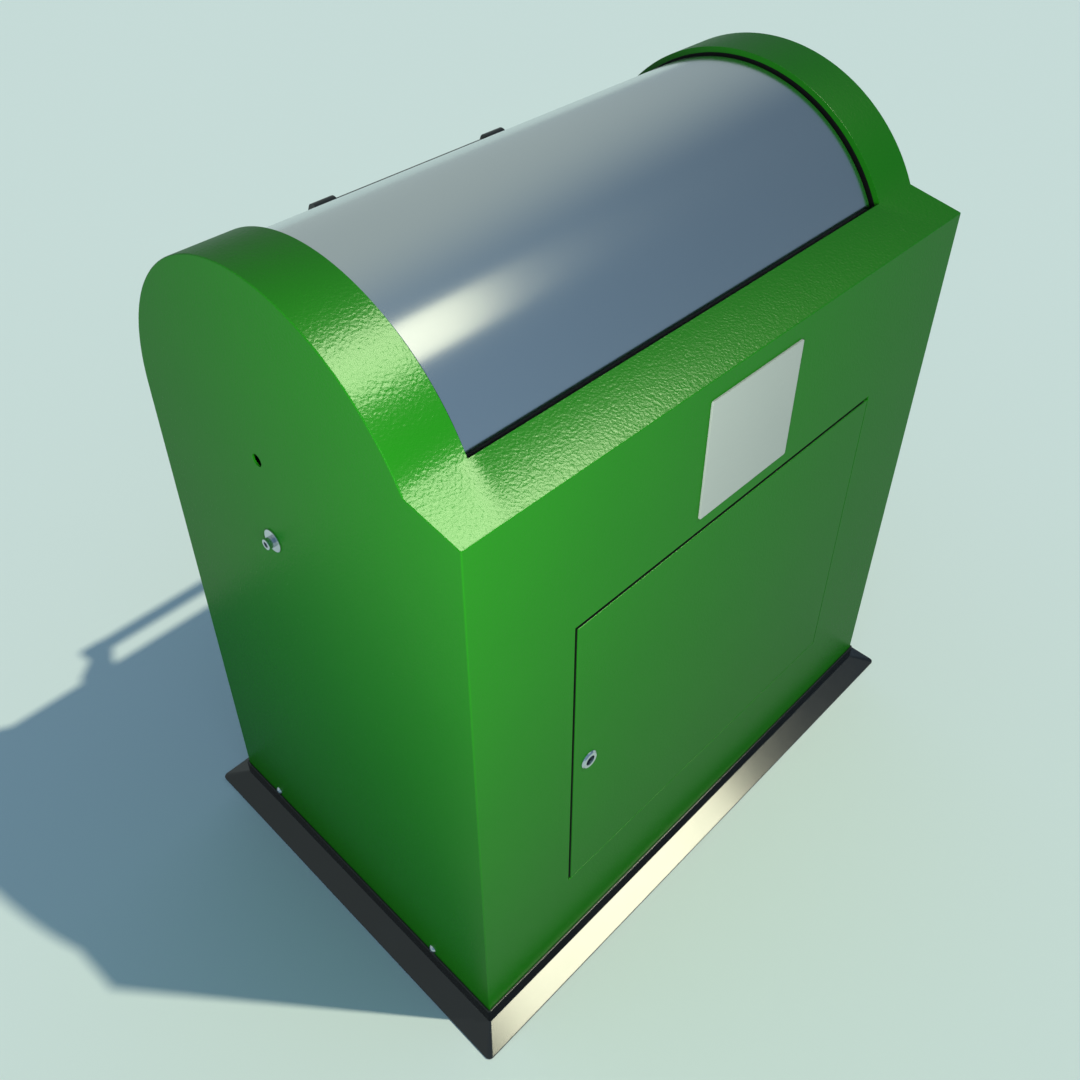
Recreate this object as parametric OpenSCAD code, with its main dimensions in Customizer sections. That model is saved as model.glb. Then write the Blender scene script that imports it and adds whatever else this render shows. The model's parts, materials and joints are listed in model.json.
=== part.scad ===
// Inlet column of a large waste container: a folded steel housing on a black
// base, with a stainless drum that turns in its top and a locked service door.
// Millimetres, +Z up, origin on the floor in the middle of the base.
// The service side faces -Y and the side that people use faces +Y.

/* [Housing] */
// Width across the two side panels
column_w = 1000; // [940:10:1100]
// Depth from the service face to the user face
column_d = 634; // [626:2:650]
// Thickness of the housing sheet
sheet_t = 3; // [2.5:0.5:3.5]
// Width of the closed case at each end of the drum
end_case_w = 90; // [88:1:100]
// Depth of the sloping ledge in front of the drum
ledge_d = 87; // [82:1:92]
// How far the ledge falls from the arches to the service face
ledge_fall = 16.22; // [12:0.01:20]
// How far the arches' feet on the ledge lie above the drum's axis
ledge_lift = 130.22; // [126:0.01:134]
// How far the sill on the user side lies below the drum's axis
sill_drop = 20; // [13:1:27]
// Width of the stiffening fold under each cheek plate
cheek_fold = 20; // [15:1:30]

/* [Base] */
// How far the base skirt reaches out from the housing
skirt_w = 39; // [36:1:50]
// Height of the skirt's outer edge
skirt_edge_h = 3; // [2:0.5:4]
// Height at which the skirt's slope meets its rim
slope_z = 17; // [16:0.5:20]
// Height of the skirt's rim
rim_z = 47; // [40:1:47]
// Thickness of the skirt's rim
rim_t = 3.2; // [2.5:0.1:4]
// Thickness of the skirt under its slope
skirt_t = 3; // [2:0.5:3.5]
// Width of the skirt's foot on the floor
foot_w = 6; // [4:0.5:8]
// Corner radius of the skirt's outer edge
skirt_r = 8; // [4:1:12]
// Thickness of the base frame's plate
frame_t = 8; // [6:1:9]
// Thickness of the base frame's upright
upright_t = 5; // [4:1:8]
// Height of the base frame's upright
upright_h = 78; // [70:1:100]
// Distance of the base frame's mouth from the side panels
mouth_side = 80; // [75:1:110]
// Distance of the base frame's mouth from the service face
mouth_front = 77; // [72:1:97]
// Distance of the anchor holes from the side panels
anchor_side = 44; // [40:1:50]
// Distance of the anchor holes from the service face
anchor_front = 42; // [39:1:44]
// Radius of an anchor hole
anchor_hole_r = 7; // [6:0.5:8]
// Distance of the base screws from the service face
screw_front = 129; // [100:1:160]
// Distance of the base screws from the user face
screw_back = 96; // [70:1:130]
// Height of the base screws
screw_z = 54.5; // [54.5:0.5:60]

/* [Drum] */
// Height of the drum's axis
axis_z = 895; // [890:1:899]
// Radial gap between the drum and the arches
drum_gap = 12; // [11:0.5:13]
// Gap between each end of the drum and the cheek beside it
drum_end_gap = 7; // [6.5:0.5:9]
// Thickness of the drum's shell
shell_t = 2; // [1.5:0.25:2.5]
// How far the drum's leading edge hangs below the axis, in degrees
lip_angle = 8; // [6:0.5:9]
// How far the drum's shell wraps round, in degrees
wrap_angle = 248; // [230:1:250]
// How far the drum turns from closed to open, in degrees
drum_travel = 100; // [80:1:105]
// Depth of the hem on the shell's trailing edge
hem_d = 15; // [10:1:20]
// Thickness of the drum's end discs
disc_t = 4; // [3:0.5:5]
// How far the end discs sit inside the shell's ends
disc_set = 6; // [5:0.5:8]
// Thickness of the bar inside the leading edge
edge_bar_t = 12; // [8:1:14]
// Width of the bar inside the leading edge
edge_bar_w = 40; // [30:1:50]
// Thickness of the counterweights
weight_t = 20; // [16:1:24]
// Inner radius of the counterweights
weight_r1 = 120; // [110:1:130]
// Radial gap between the counterweights and the drum's shell
weight_gap = 10; // [8:1:20]
// How far round each counterweight reaches, in degrees
weight_angle = 64; // [50:1:70]
// Direction of the counterweights' middle from the axis, in degrees
weight_dir = -84; // [-90:1:-75]

/* [Handle] */
// Direction of the handle from the drum's axis, in degrees
handle_angle = 22; // [20:1:24]
// Diameter of the handle's bar
grip_d = 32; // [28:1:34]
// Gap for the hand between the bar and the drum
hand_gap = 37; // [35:1:39]
// Clear width between the handle's brackets
grip_w = 302; // [260:2:340]
// Width of a bracket at its outer end
bracket_top_w = 38; // [34:1:42]
// Width of a bracket at the drum
bracket_base_w = 59; // [56:1:66]
// How far a bracket's foot steps outward from its head
bracket_lean = 20; // [15:1:25]
// Size of a bracket along the drum's curve
bracket_depth = 40; // [38:1:42]
// Radius of a bracket's rounded outer edges
bracket_r = 12; // [8:1:14]
// Thickness of a bracket's foot
bracket_pad_t = 8; // [8:1:10]
// Metal that a bracket has beyond the bar
bracket_cap = 2; // [1.5:0.5:3]

/* [Service door] */
// Width of the door opening
opening_w = 656; // [600:2:700]
// Height of the service face above the door opening
opening_drop = 249; // [240:1:260]
// Height of the opening's lower edge
opening_z = 199.2; // [180:0.2:204]
// Gap over the door and beside its free edge
door_gap = 4; // [3:0.5:5]
// Gap under the door and beside its hinge edge
close_gap = 0.8; // [0.8:0.1:1.2]
// Distance of the pivots from the door's hinge edge
pivot_inset = 64; // [60:1:80]
// Distance of the pivots behind the door's face
pivot_set = 8; // [7.5:0.1:8.2]
// Thickness of the door's sheet
door_t = 2; // [1.5:0.25:2.5]
// Depth of the door's folded pan
pan_d = 18; // [16:0.5:18]
// Depth of the frame round the opening
jamb_d = 22; // [22:0.5:26]
// Width of the stop lip inside the frame
lip_w = 14; // [12:1:18]
// Width of the gasket on the stop lip
gasket_w = 8; // [6:1:9]
// Distance of the lock from the door's free edge
lock_inset = 30; // [28:1:40]
// Height of the lock
lock_z = 468; // [420:1:520]
// Radius of the lock's ring
lock_r = 15; // [14:0.5:18]
// How far the lock's ring stands out from the door
lock_proud = 3.5; // [2:0.5:5]
// Length of the lock's cam
cam_l = 40; // [38:1:46]

/* [Front plate] */
// Width of the blank plate
plate_w = 192; // [150:1:240]
// Height of the blank plate
plate_h = 191; // [150:1:200]
// Thickness of the blank plate
plate_t = 3; // [1:0.5:4]
// Distance of the plate's upper edge from the top of the service face
plate_drop = 31; // [20:1:38]

/* [Drum stops] */
// How far the stop bolts lie behind the drum's axis
stop_back = 28; // [22:1:34]
// How far the stop bolts lie below the drum's axis
stop_drop = 119; // [115:1:125]
// Radius of a stop bolt's shank
stop_r = 5; // [4:0.5:5]
// Radius of a stop bolt's socket head
stop_head_r = 8; // [7:0.5:9]
// Height of a stop bolt's socket head
stop_head_h = 10; // [8:0.5:12]
// Radius of a stop washer
washer_r = 17; // [14:0.5:18]
// Radius of a rubber stop buffer
buffer_r = 14; // [12:0.5:15]
// How far the hole for the blocking pin lies behind the drum's axis
pin_hole_back = 29.6; // [29:0.1:30.5]
// How far the hole for the blocking pin lies above the drum's axis
pin_hole_rise = 14; // [13:0.5:15]
// Radius of the hole for the blocking pin in the side panels
pin_hole_r = 9; // [8:0.5:10]

/* [Hidden] */
$fn = 96;

// Colours
green_paint = [0.17, 0.50, 0.14];
black_paint = [0.05, 0.05, 0.07];
stainless = [0.55, 0.60, 0.66];
zinc = [0.66, 0.68, 0.70];
galvanised = [0.58, 0.60, 0.62];
light_plate = [0.78, 0.80, 0.82];
bronze = [0.66, 0.50, 0.26];
black_rubber = [0.04, 0.04, 0.04];
black_plastic = [0.03, 0.03, 0.03];

// Clearances
cut = 1;         // how far a cut runs past what it cuts
fit = 0.05;      // round a fixed round fit
run = 0.05;      // round a shaft that turns
seat = 0.3;      // beside a piece that rests against another
wipe = 0.6;      // between a seal and the drum

// Housing planes
half_w = column_w / 2;
front_y = -column_d / 2;
back_y = column_d / 2;
front_in = front_y + sheet_t;
back_in = back_y - sheet_t;
side_in = half_w - sheet_t;
column_z = frame_t;
case_x = half_w - end_case_w;
case_in = case_x + sheet_t;
ledge_y = front_y + ledge_d;
ledge_z = axis_z + ledge_lift;
shoulder_z = ledge_z - ledge_fall;
ledge_a = atan2(ledge_fall, ledge_d);

// The arches' circle touches the user face and meets the ledge at its upper edge
arch_w = back_y - ledge_y;
arch_r = (pow(arch_w, 2) + pow(ledge_lift, 2)) / (2 * arch_w);
axis_y = back_y - arch_r;
sill_z = axis_z - sill_drop;
cheek_z = axis_z - arch_r;

// Base
frame_gap = 1;
cavity_z = slope_z - skirt_t;
foot_out = skirt_w - foot_w;
frame_out = foot_out - (frame_t + frame_gap) * (foot_out - seat) / cavity_z;
rim_out = seat + rim_t;
mouth_w = column_w - 2 * mouth_side;
mouth_d = column_d - 2 * mouth_front;
anchor_x = column_w - 2 * anchor_side;
anchor_y = column_d - 2 * anchor_front;
screw_ys = [front_y + screw_front, back_y - screw_back];
screw_r = 4;
screw_head_r = 7;
screw_head_h = 4.4;
screw_key = 5;
screw_key_d = 2.4;
screw_l = 16;

// Drum
drum_r = arch_r - drum_gap;
drum_in = drum_r - shell_t;
drum_x = case_x - drum_end_gap;
disc_x = drum_x - disc_set;
disc_in = disc_x - disc_t;
edge_bar_angle = edge_bar_w / drum_in * 180 / PI;
hub_r = 45;
hub_t = 8;
hub_bolt_n = 4;
hub_bolt_ring = 33;
shaft_r = 15;
weight_r2 = drum_in - weight_gap;
weight_bolt_r = 5;
weight_bolt_ring = (weight_r1 + weight_r2) / 2;
weight_bolt_angle = 18;

// Bearings
bearing_w = 100;
bearing_corner = 12;
bearing_t = 12;
boss_r = 25;
boss_l = 24;
bush_r = 20;
bush_flange_r = 24;
bush_flange_t = 2;
bearing_bolt_at = 38;
bolt_r = 4;
bolt_hole_r = 4.3;
shaft_hole_r = 21;

// Stop levers
lever_x = case_in + boss_l + bush_flange_t + seat;
lever_t = 12;
lever_boss_l = 24;
lever_boss_r = 28;
lever_disc_r = 48;
arm_w = 18;
arm_past = 6;
stop_y = axis_y + stop_back;
stop_z = axis_z - stop_drop;
stop_ring = norm([stop_y - axis_y, stop_z - axis_z]);
stop_dir = atan2(stop_z - axis_z, stop_y - axis_y);
stop_angle = asin((buffer_r + arm_w / 2 + seat) / stop_ring);
closed_arm_dir = stop_dir + stop_angle;
open_arm_dir = stop_dir - stop_angle - drum_travel;
buffer_l = 18;
buffer_x = lever_x + lever_t / 2 - buffer_l / 2;
pin_hole_y = axis_y + pin_hole_back;
pin_hole_z = axis_z + pin_hole_rise;
pin_r = 6.25;
set_screw_r = 4;
end_washer_r = 22;
end_washer_t = 4;
end_bolt_r = 5;
end_bolt_l = 20;

// Nuts, bolt heads and washers
washer_t = 2.5;
stop_key = 8;
stop_key_d = 6;
bolt_af = 13;
bolt_head_t = 5.3;
bolt_nut_t = 6.5;
big_af = 17;
big_head_t = 6.4;
big_nut_t = 8;

// Handle
handle_r = drum_r + hand_gap + grip_d / 2;
bracket_end = handle_r + grip_d / 2 + bracket_cap;
bracket_head = handle_r - grip_d / 2;
bracket_x = grip_w / 2;
foot_x = bracket_x + bracket_lean;
foot_root = 5;
socket_d = 12;
handle_screw_r = 3;
handle_screw_hole_r = 3.3;
handle_screw_head_r = 5;
handle_screw_head_h = 5;
handle_screw_d = 12;
handle_screw_inset = 15;

// Seals
seal_t = 2;
seal_w = 25;
seal_lip_t = 3;
seal_lip_gap = 2;
ledge_seal_w = 20;
ledge_seal_h = 12;
ledge_seal_nose = 6;
trim_t = 2.5;
trim_d = 12;
trim_x = case_x - seal_t - seat;

// Service door
open_x = opening_w / 2;
open_z2 = shoulder_z - opening_drop;
opening_h = open_z2 - opening_z;
door_x1 = -open_x + door_gap;
door_x2 = open_x - close_gap;
door_z1 = opening_z + close_gap;
door_z2 = open_z2 - door_gap;
pan_back = front_y + pan_d;
pivot_x = door_x2 - pivot_inset;
pivot_y = front_y + pivot_set;
jamb_back = front_in + jamb_d;
lip_front = jamb_back - sheet_t;
lip_end = pivot_x - 1.4 * pan_d;
gasket_set = 2;
pivot_r = 3;
bush_wall = 1;
bush_collar_r = 5;
pin_collar_r = 6;
pin_collar_h = 4;
pin_past = 4;
stiff_t = 1.5;
stiff_w = 50;
stiff_foot = 15;
stiff_d = 12;
stiff_x_share = 1 / 6;

// Lock
lock_x = door_x1 + lock_inset;
lock_front = front_y - lock_proud;
lock_chamfer = 2.5;
barrel_r = 11;
recess_r = 8;
recess_d = 11.5;
spindle_r = 6;
spindle_collar_r = 7.5;
spindle_collar_t = 1.5;
key_corner_r = 5.2;
key_set = 4.5;
cam_gap = 0.4;
cam_t = 3;
cam_w = 16;
cam_hub_r = 10;
cam_square = 8;
cam_y = jamb_back + cam_gap;
cam_screw_r = 2.5;
cam_screw_head_r = 5;
cam_screw_head_h = 3;
cam_screw_l = 10;
lock_nut_af = 27;
lock_nut_t = 5;

// Extrudes a depth-height outline along X
module across(x, w) translate([x, 0, 0]) rotate([90, 0, 90]) linear_extrude(w) children();

// Extrudes a width-height outline along Y
module through(y, t) translate([0, y + t, 0]) rotate([90, 0, 0]) linear_extrude(t) children();

// Stands its children on the drum's axis: their X is depth, Y is height and Z is width
module on_axis(x) translate([x, axis_y, axis_z]) rotate([90, 0, 90]) children();

// Points its children's Z along X, at a depth and height of the side panels
module sideways(x, y, z) translate([x, y, z]) rotate([90, 0, 90]) children();

// Points its children's Z into the column along Y, on the lock's axis
module on_lock(y) translate([lock_x, y, lock_z]) rotate([-90, 0, 0]) children();

// Draws its children, made for the right side, on the side that is asked for
module on_side(side) {
    if (side < 0) mirror([1, 0, 0]) children();
    else children();
}

module both_sides() {
    on_side(1) children();
    on_side(-1) children();
}

module rounded_rect(w, h, r) {
    square([w - 2 * r, h], center = true);
    square([w, h - 2 * r], center = true);
    for (x = [-1, 1], y = [-1, 1])
        translate([x * (w / 2 - r), y * (h / 2 - r)]) circle(r);
}

// A rectangle from one corner to the other
module corner_rect(x1, y1, x2, y2) translate([x1, y1]) square([x2 - x1, y2 - y1]);

module tube(r1, r2, h) difference() {
    cylinder(h = h, r = r2);
    translate([0, 0, -cut]) cylinder(h = h + 2 * cut, r = r1);
}

module hexagon(af, h) cylinder(h = h, d = af / cos(30), $fn = 6);

module hex_nut(af, h, r) difference() {
    hexagon(af, h);
    translate([0, 0, -cut]) cylinder(h = h + 2 * cut, r = r + fit);
}

// A hexagon bolt with its head below zero and its shank above
module hex_bolt(af, head, r, l) {
    translate([0, 0, -head]) hexagon(af, head);
    cylinder(h = l, r = r);
}

// Height of the ledge's underside at a depth
function ledge_under(y) = shoulder_z + (y - front_y) * tan(ledge_a) - sheet_t / cos(ledge_a);

// The part of a disc on the drum's axis that an arch shows
module arch_part(r) intersection() {
    translate([axis_y, axis_z]) circle(r);
    corner_rect(ledge_y, axis_z, back_y + cut, axis_z + arch_r + cut);
}

module side_outline() difference() {
    polygon([[front_y, column_z], [front_y, shoulder_z], [ledge_y, ledge_z],
             [ledge_y, axis_z + arch_r + cut], [back_y, axis_z + arch_r + cut],
             [back_y, column_z]]);
    difference() {
        corner_rect(ledge_y, axis_z, back_y + cut, axis_z + arch_r + 2 * cut);
        translate([axis_y, axis_z]) circle(arch_r);
    }
}

module side_panel() difference() {
    across(side_in, sheet_t) side_outline();
    sideways(side_in - cut, stop_y, stop_z) cylinder(h = sheet_t + 2 * cut, r = stop_r + fit);
    sideways(side_in - cut, pin_hole_y, pin_hole_z) cylinder(h = sheet_t + 2 * cut, r = pin_hole_r);
    for (y = screw_ys)
        sideways(side_in - cut, y, screw_z) cylinder(h = sheet_t + 2 * cut, r = screw_r + fit);
}

module cheek_plate() difference() {
    union() {
        across(case_x, sheet_t) {
            polygon([[front_in, cheek_z], [front_in, ledge_under(front_in)],
                     [ledge_y, ledge_under(ledge_y)], [ledge_y, ledge_z],
                     [axis_y, axis_z + drum_in / 2], [back_in, axis_z], [back_in, cheek_z]]);
            arch_part(arch_r);
        }
        across(case_x, cheek_fold) corner_rect(front_in, cheek_z, back_in, cheek_z + sheet_t);
    }
    on_axis(case_x - cut) {
        cylinder(h = sheet_t + 2 * cut, r = shaft_hole_r);
        bearing_bolt_places() cylinder(h = sheet_t + 2 * cut, r = bolt_hole_r);
    }
    sideways(case_x - cut, stop_y, stop_z) cylinder(h = sheet_t + 2 * cut, r = stop_r + fit);
}

module arch_band() across(case_in, side_in - case_in) difference() {
    arch_part(arch_r);
    translate([axis_y, axis_z]) circle(arch_r - sheet_t);
}

module front_cover() color(green_paint) difference() {
    across(-side_in, 2 * side_in)
        polygon([[front_y, column_z], [front_y, shoulder_z], [ledge_y, ledge_z],
                 [ledge_y, ledge_under(ledge_y)], [front_in, ledge_under(front_in)],
                 [front_in, column_z]]);
    through(front_y - cut, sheet_t + 2 * cut) corner_rect(-open_x, opening_z, open_x, open_z2);
}

module rear_panel() color(green_paint) through(back_in, sheet_t) difference() {
    corner_rect(-side_in, column_z, side_in, axis_z);
    corner_rect(-case_x, sill_z, case_x, axis_z + cut);
}

// Cross-section of the skirt: out1 at height z1, narrowing to out2 at height z2
module hip_section(half, out1, z1, out2, z2)
    polygon([[-half - out1, -cut], [-half - out1, z1], [-half - out2, z2],
             [half + out2, z2], [half + out1, z1], [half + out1, -cut]]);

// A mitred hip over the whole base
module hip(out1, z1, out2, z2) intersection() {
    across(-half_w - skirt_w, column_w + 2 * skirt_w) hip_section(back_y, out1, z1, out2, z2);
    through(front_y - skirt_w, column_d + 2 * skirt_w) hip_section(half_w, out1, z1, out2, z2);
}

module base_skirt() color(black_paint) difference() {
    union() {
        intersection() {
            hip(skirt_w, skirt_edge_h, rim_out, slope_z);
            linear_extrude(slope_z) rounded_rect(column_w + 2 * skirt_w, column_d + 2 * skirt_w, skirt_r);
        }
        translate([0, 0, cavity_z])
            linear_extrude(rim_z - cavity_z)
            rounded_rect(column_w + 2 * rim_out, column_d + 2 * rim_out, rim_out);
    }
    hip(foot_out, 0, seat, cavity_z);
    translate([0, 0, (rim_z + cut) / 2])
        cube([column_w + 2 * seat, column_d + 2 * seat, rim_z + 3 * cut], center = true);
}

module base_frame() color(galvanised) difference() {
    union() {
        linear_extrude(frame_t)
            square([column_w + 2 * frame_out, column_d + 2 * frame_out], center = true);
        linear_extrude(upright_h) square([2 * side_in, column_d - 2 * sheet_t], center = true);
    }
    translate([0, 0, frame_t])
        linear_extrude(upright_h)
        square([2 * (side_in - upright_t), column_d - 2 * (sheet_t + upright_t)], center = true);
    translate([0, 0, -cut]) linear_extrude(upright_h) square([mouth_w, mouth_d], center = true);
    for (x = [-1, 1], y = [-1, 1])
        translate([x * anchor_x / 2, y * anchor_y / 2, -cut])
            cylinder(h = frame_t + 2 * cut, r = anchor_hole_r);
    both_sides() for (y = screw_ys)
        sideways(side_in - upright_t - cut, y, screw_z)
            cylinder(h = upright_t + 2 * cut, r = screw_r + fit);
}

// A button-head screw with its head above zero
module button_screw() difference() {
    union() {
        translate([0, 0, -screw_l]) cylinder(h = screw_l + screw_head_h / 2, r = screw_r);
        dome_r = (pow(screw_head_r, 2) + pow(screw_head_h, 2)) / (2 * screw_head_h);
        intersection() {
            translate([0, 0, screw_head_h - dome_r]) sphere(dome_r);
            cylinder(h = screw_head_h, r = screw_head_r);
        }
    }
    translate([0, 0, screw_head_h - screw_key_d]) hexagon(screw_key, screw_key_d + cut);
}

module base_screws() color(zinc) both_sides()
    for (y = screw_ys) sideways(half_w, y, screw_z) button_screw();

// Seal on a cheek, with a lip that reaches into the drum's end to its disc
module drum_seal() {
    seal_r = arch_r - sheet_t - wipe;
    lip_r = drum_in - seal_lip_gap;
    on_axis(case_x - seal_t) tube(seal_r - seal_w, seal_r, seal_t);
    on_axis(disc_x + wipe) tube(lip_r - seal_lip_t, lip_r, case_x - disc_x - wipe);
}

module ledge_seal() color(black_rubber) across(-drum_x, 2 * drum_x) difference() {
    polygon([[ledge_y - ledge_seal_w, ledge_under(ledge_y - ledge_seal_w)],
             [ledge_y, ledge_under(ledge_y)],
             [ledge_y + ledge_seal_nose, ledge_under(ledge_y) - ledge_seal_nose],
             [ledge_y + ledge_seal_nose, ledge_under(ledge_y) - ledge_seal_h],
             [ledge_y - ledge_seal_w, ledge_under(ledge_y - ledge_seal_w) - ledge_seal_h / 2]]);
    translate([axis_y, axis_z]) circle(drum_r + wipe);
}

// Edge trim on the sill, ending just short of the drum's seals
module sill_trim() color(black_rubber) across(-trim_x, 2 * trim_x) difference() {
    corner_rect(back_in - trim_t, sill_z - trim_d, back_y + trim_t, sill_z + trim_t);
    corner_rect(back_in, sill_z - trim_d - cut, back_y, sill_z);
}

module info_plate() color(light_plate) through(front_y - plate_t, plate_t)
    translate([0, shoulder_z - plate_drop - plate_h / 2]) rounded_rect(plate_w, plate_h, plate_t);

module bearing_bolt_places()
    for (x = [-1, 1], y = [-1, 1])
        translate([x * bearing_bolt_at, y * bearing_bolt_at, 0]) children();

module pin_place() translate([pin_hole_y - axis_y, pin_hole_z - axis_z, 0]) children();

module bearing_housing() on_axis(case_in) difference() {
    union() {
        linear_extrude(bearing_t) rounded_rect(bearing_w, bearing_w, bearing_corner);
        cylinder(h = boss_l, r = boss_r);
    }
    translate([0, 0, -cut]) {
        cylinder(h = boss_l + 2 * cut, r = bush_r + fit);
        bearing_bolt_places() cylinder(h = bearing_t + 2 * cut, r = bolt_hole_r);
        pin_place() cylinder(h = bearing_t + 2 * cut, r = pin_r);
    }
}

module bearing_bush() on_axis(case_in) difference() {
    union() {
        cylinder(h = boss_l, r = bush_r);
        translate([0, 0, boss_l]) cylinder(h = bush_flange_t, r = bush_flange_r);
    }
    translate([0, 0, -cut]) cylinder(h = boss_l + bush_flange_t + 2 * cut, r = shaft_r + run);
}

module bearing_bolts() color(zinc) both_sides() on_axis(case_x) bearing_bolt_places()
    hex_bolt(bolt_af, bolt_head_t, bolt_r, sheet_t + bearing_t + bolt_nut_t + 2 * cut);

module bearing_nuts() color(zinc) both_sides() on_axis(case_in + bearing_t)
    bearing_bolt_places() hex_nut(bolt_af, bolt_nut_t, bolt_r);

// Long socket-head bolts that come in through the side panels and carry the buffers
module stop_bolts() color(zinc) both_sides() sideways(case_x, stop_y, stop_z) difference() {
    head_z = end_case_w + washer_t;
    union() {
        cylinder(h = head_z + stop_head_h / 2, r = stop_r);
        translate([0, 0, head_z]) cylinder(h = stop_head_h, r = stop_head_r);
    }
    translate([0, 0, head_z + stop_head_h - stop_key_d]) hexagon(stop_key, stop_key_d + cut);
}

module stop_washers() color(zinc) both_sides() sideways(half_w, stop_y, stop_z)
    tube(stop_r + fit, washer_r, washer_t);

module stop_nuts() color(zinc) both_sides()
    for (x = [side_in - big_nut_t, buffer_x + buffer_l, buffer_x - big_nut_t, case_in])
        sideways(x, stop_y, stop_z) hex_nut(big_af, big_nut_t, stop_r);

module stop_buffers() color(black_rubber) both_sides() sideways(buffer_x, stop_y, stop_z)
    tube(stop_r + fit, buffer_r, buffer_l);

module drum_shell() color(stainless) difference() {
    on_axis(-drum_x) {
        rotate(-lip_angle) rotate_extrude(angle = wrap_angle)
            translate([drum_in, 0]) square([shell_t, 2 * drum_x]);
        rotate(wrap_angle - lip_angle) translate([drum_in - hem_d, -shell_t, disc_set])
            cube([hem_d + shell_t / 2, shell_t, 2 * disc_x]);
    }
    handle_screw_places() cylinder(h = 2 * shell_t + 2 * cut, r = handle_screw_hole_r);
}

module drum_disc() on_axis(disc_in) difference() {
    cylinder(h = disc_t, r = drum_in - fit);
    translate([0, 0, -cut]) {
        cylinder(h = disc_t + 2 * cut, r = shaft_r + fit);
        hub_bolt_places() cylinder(h = disc_t + 2 * cut, r = bolt_r + fit);
        weight_bolt_places() cylinder(h = disc_t + 2 * cut, r = weight_bolt_r + fit);
    }
    // Notch for the shell's hem
    rotate(wrap_angle - lip_angle) translate([drum_in - hem_d - fit, -shell_t - fit, -cut])
        cube([hem_d + cut, shell_t + 2 * fit, disc_t + 2 * cut]);
}

module hub_bolt_places()
    for (i = [0 : hub_bolt_n - 1])
        rotate((i + 1 / 2) * 360 / hub_bolt_n) translate([hub_bolt_ring, 0, 0]) children();

module weight_bolt_places()
    for (side = [-1, 1])
        rotate(weight_dir + side * weight_bolt_angle) translate([weight_bolt_ring, 0, 0]) children();

module stub_shaft() on_axis(disc_in - hub_t) difference() {
    shaft_l = lever_x + lever_boss_l - disc_in + hub_t;
    union() {
        cylinder(h = hub_t, r = hub_r);
        cylinder(h = shaft_l, r = shaft_r);
    }
    translate([0, 0, -cut])
        hub_bolt_places() cylinder(h = hub_t + 2 * cut, r = bolt_r + fit);
    translate([0, 0, shaft_l - end_bolt_l - cut])
        cylinder(h = end_bolt_l + 2 * cut, r = end_bolt_r + fit);
}

module hub_bolts() color(zinc) both_sides() on_axis(disc_in - hub_t) hub_bolt_places()
    hex_bolt(bolt_af, bolt_head_t, bolt_r, hub_t + disc_t + bolt_nut_t + cut);

module hub_nuts() color(zinc) both_sides() on_axis(disc_x) hub_bolt_places()
    hex_nut(bolt_af, bolt_nut_t, bolt_r);

module drum_edge_bar() color(galvanised) on_axis(-disc_in + seat) rotate(-lip_angle)
    rotate_extrude(angle = edge_bar_angle) translate([drum_in - fit - edge_bar_t, 0])
    square([edge_bar_t, 2 * (disc_in - seat)]);

module counterweight() on_axis(disc_in - weight_t) difference() {
    rotate(weight_dir - weight_angle / 2) rotate_extrude(angle = weight_angle)
        translate([weight_r1, 0]) square([weight_r2 - weight_r1, weight_t]);
    translate([0, 0, -cut])
        weight_bolt_places() cylinder(h = weight_t + 2 * cut, r = weight_bolt_r + fit);
}

module counterweight_bolts() color(zinc) both_sides() on_axis(disc_in - weight_t)
    weight_bolt_places()
    hex_bolt(big_af, big_head_t, weight_bolt_r, weight_t + disc_t + big_nut_t + cut);

module counterweight_nuts() color(zinc) both_sides() on_axis(disc_x)
    weight_bolt_places() hex_nut(big_af, big_nut_t, weight_bolt_r);

// Radial places of the handle's screws, from the drum's inner face outwards
module handle_screw_places()
    both_sides()
    for (x = [foot_x + handle_screw_inset, foot_x + bracket_base_w - handle_screw_inset])
        on_axis(x) rotate(handle_angle) translate([drum_in - cut, 0, 0]) rotate([0, 90, 0]) children();

module handle_bar() color(black_plastic) on_axis(-bracket_x - socket_d) rotate(handle_angle)
    translate([handle_r, 0, 0]) cylinder(h = grip_w + 2 * socket_d, r = grip_d / 2);

// Front view of a bracket, radius against width
module bracket_face() polygon([
    [drum_r - foot_root, foot_x],
    [drum_r - foot_root, foot_x + bracket_base_w],
    [drum_r + bracket_pad_t, foot_x + bracket_base_w],
    [bracket_head, bracket_x + bracket_top_w],
    [bracket_end, bracket_x + bracket_top_w],
    [bracket_end, bracket_x],
    [bracket_head, bracket_x],
    [drum_r + bracket_pad_t, foot_x]]);

// Side view of a bracket, radius against the way it turns, with rounded outer edges
module bracket_side() {
    half = bracket_depth / 2;
    corner_rect(0, -half, bracket_end - bracket_r, half);
    corner_rect(0, -half + bracket_r, bracket_end, half - bracket_r);
    for (side = [-1, 1])
        translate([bracket_end - bracket_r, side * (half - bracket_r)]) circle(bracket_r);
}

module handle_bracket() difference() {
    on_axis(0) rotate(handle_angle) difference() {
        intersection() {
            translate([0, bracket_depth / 2, 0]) rotate([90, 0, 0])
                linear_extrude(bracket_depth) bracket_face();
            linear_extrude(2 * case_x) bracket_side();
        }
        cylinder(h = 2 * case_x, r = drum_r + fit);
        translate([handle_r, 0, 0]) cylinder(h = bracket_x + socket_d, r = grip_d / 2 + fit);
    }
    handle_screw_places() cylinder(h = shell_t + handle_screw_d + cut, r = handle_screw_r + fit);
}

module handle_screws() color(zinc) handle_screw_places() {
    translate([0, 0, cut - fit - handle_screw_head_h])
        cylinder(h = handle_screw_head_h, r = handle_screw_head_r);
    cylinder(h = shell_t + handle_screw_d, r = handle_screw_r);
}

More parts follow.
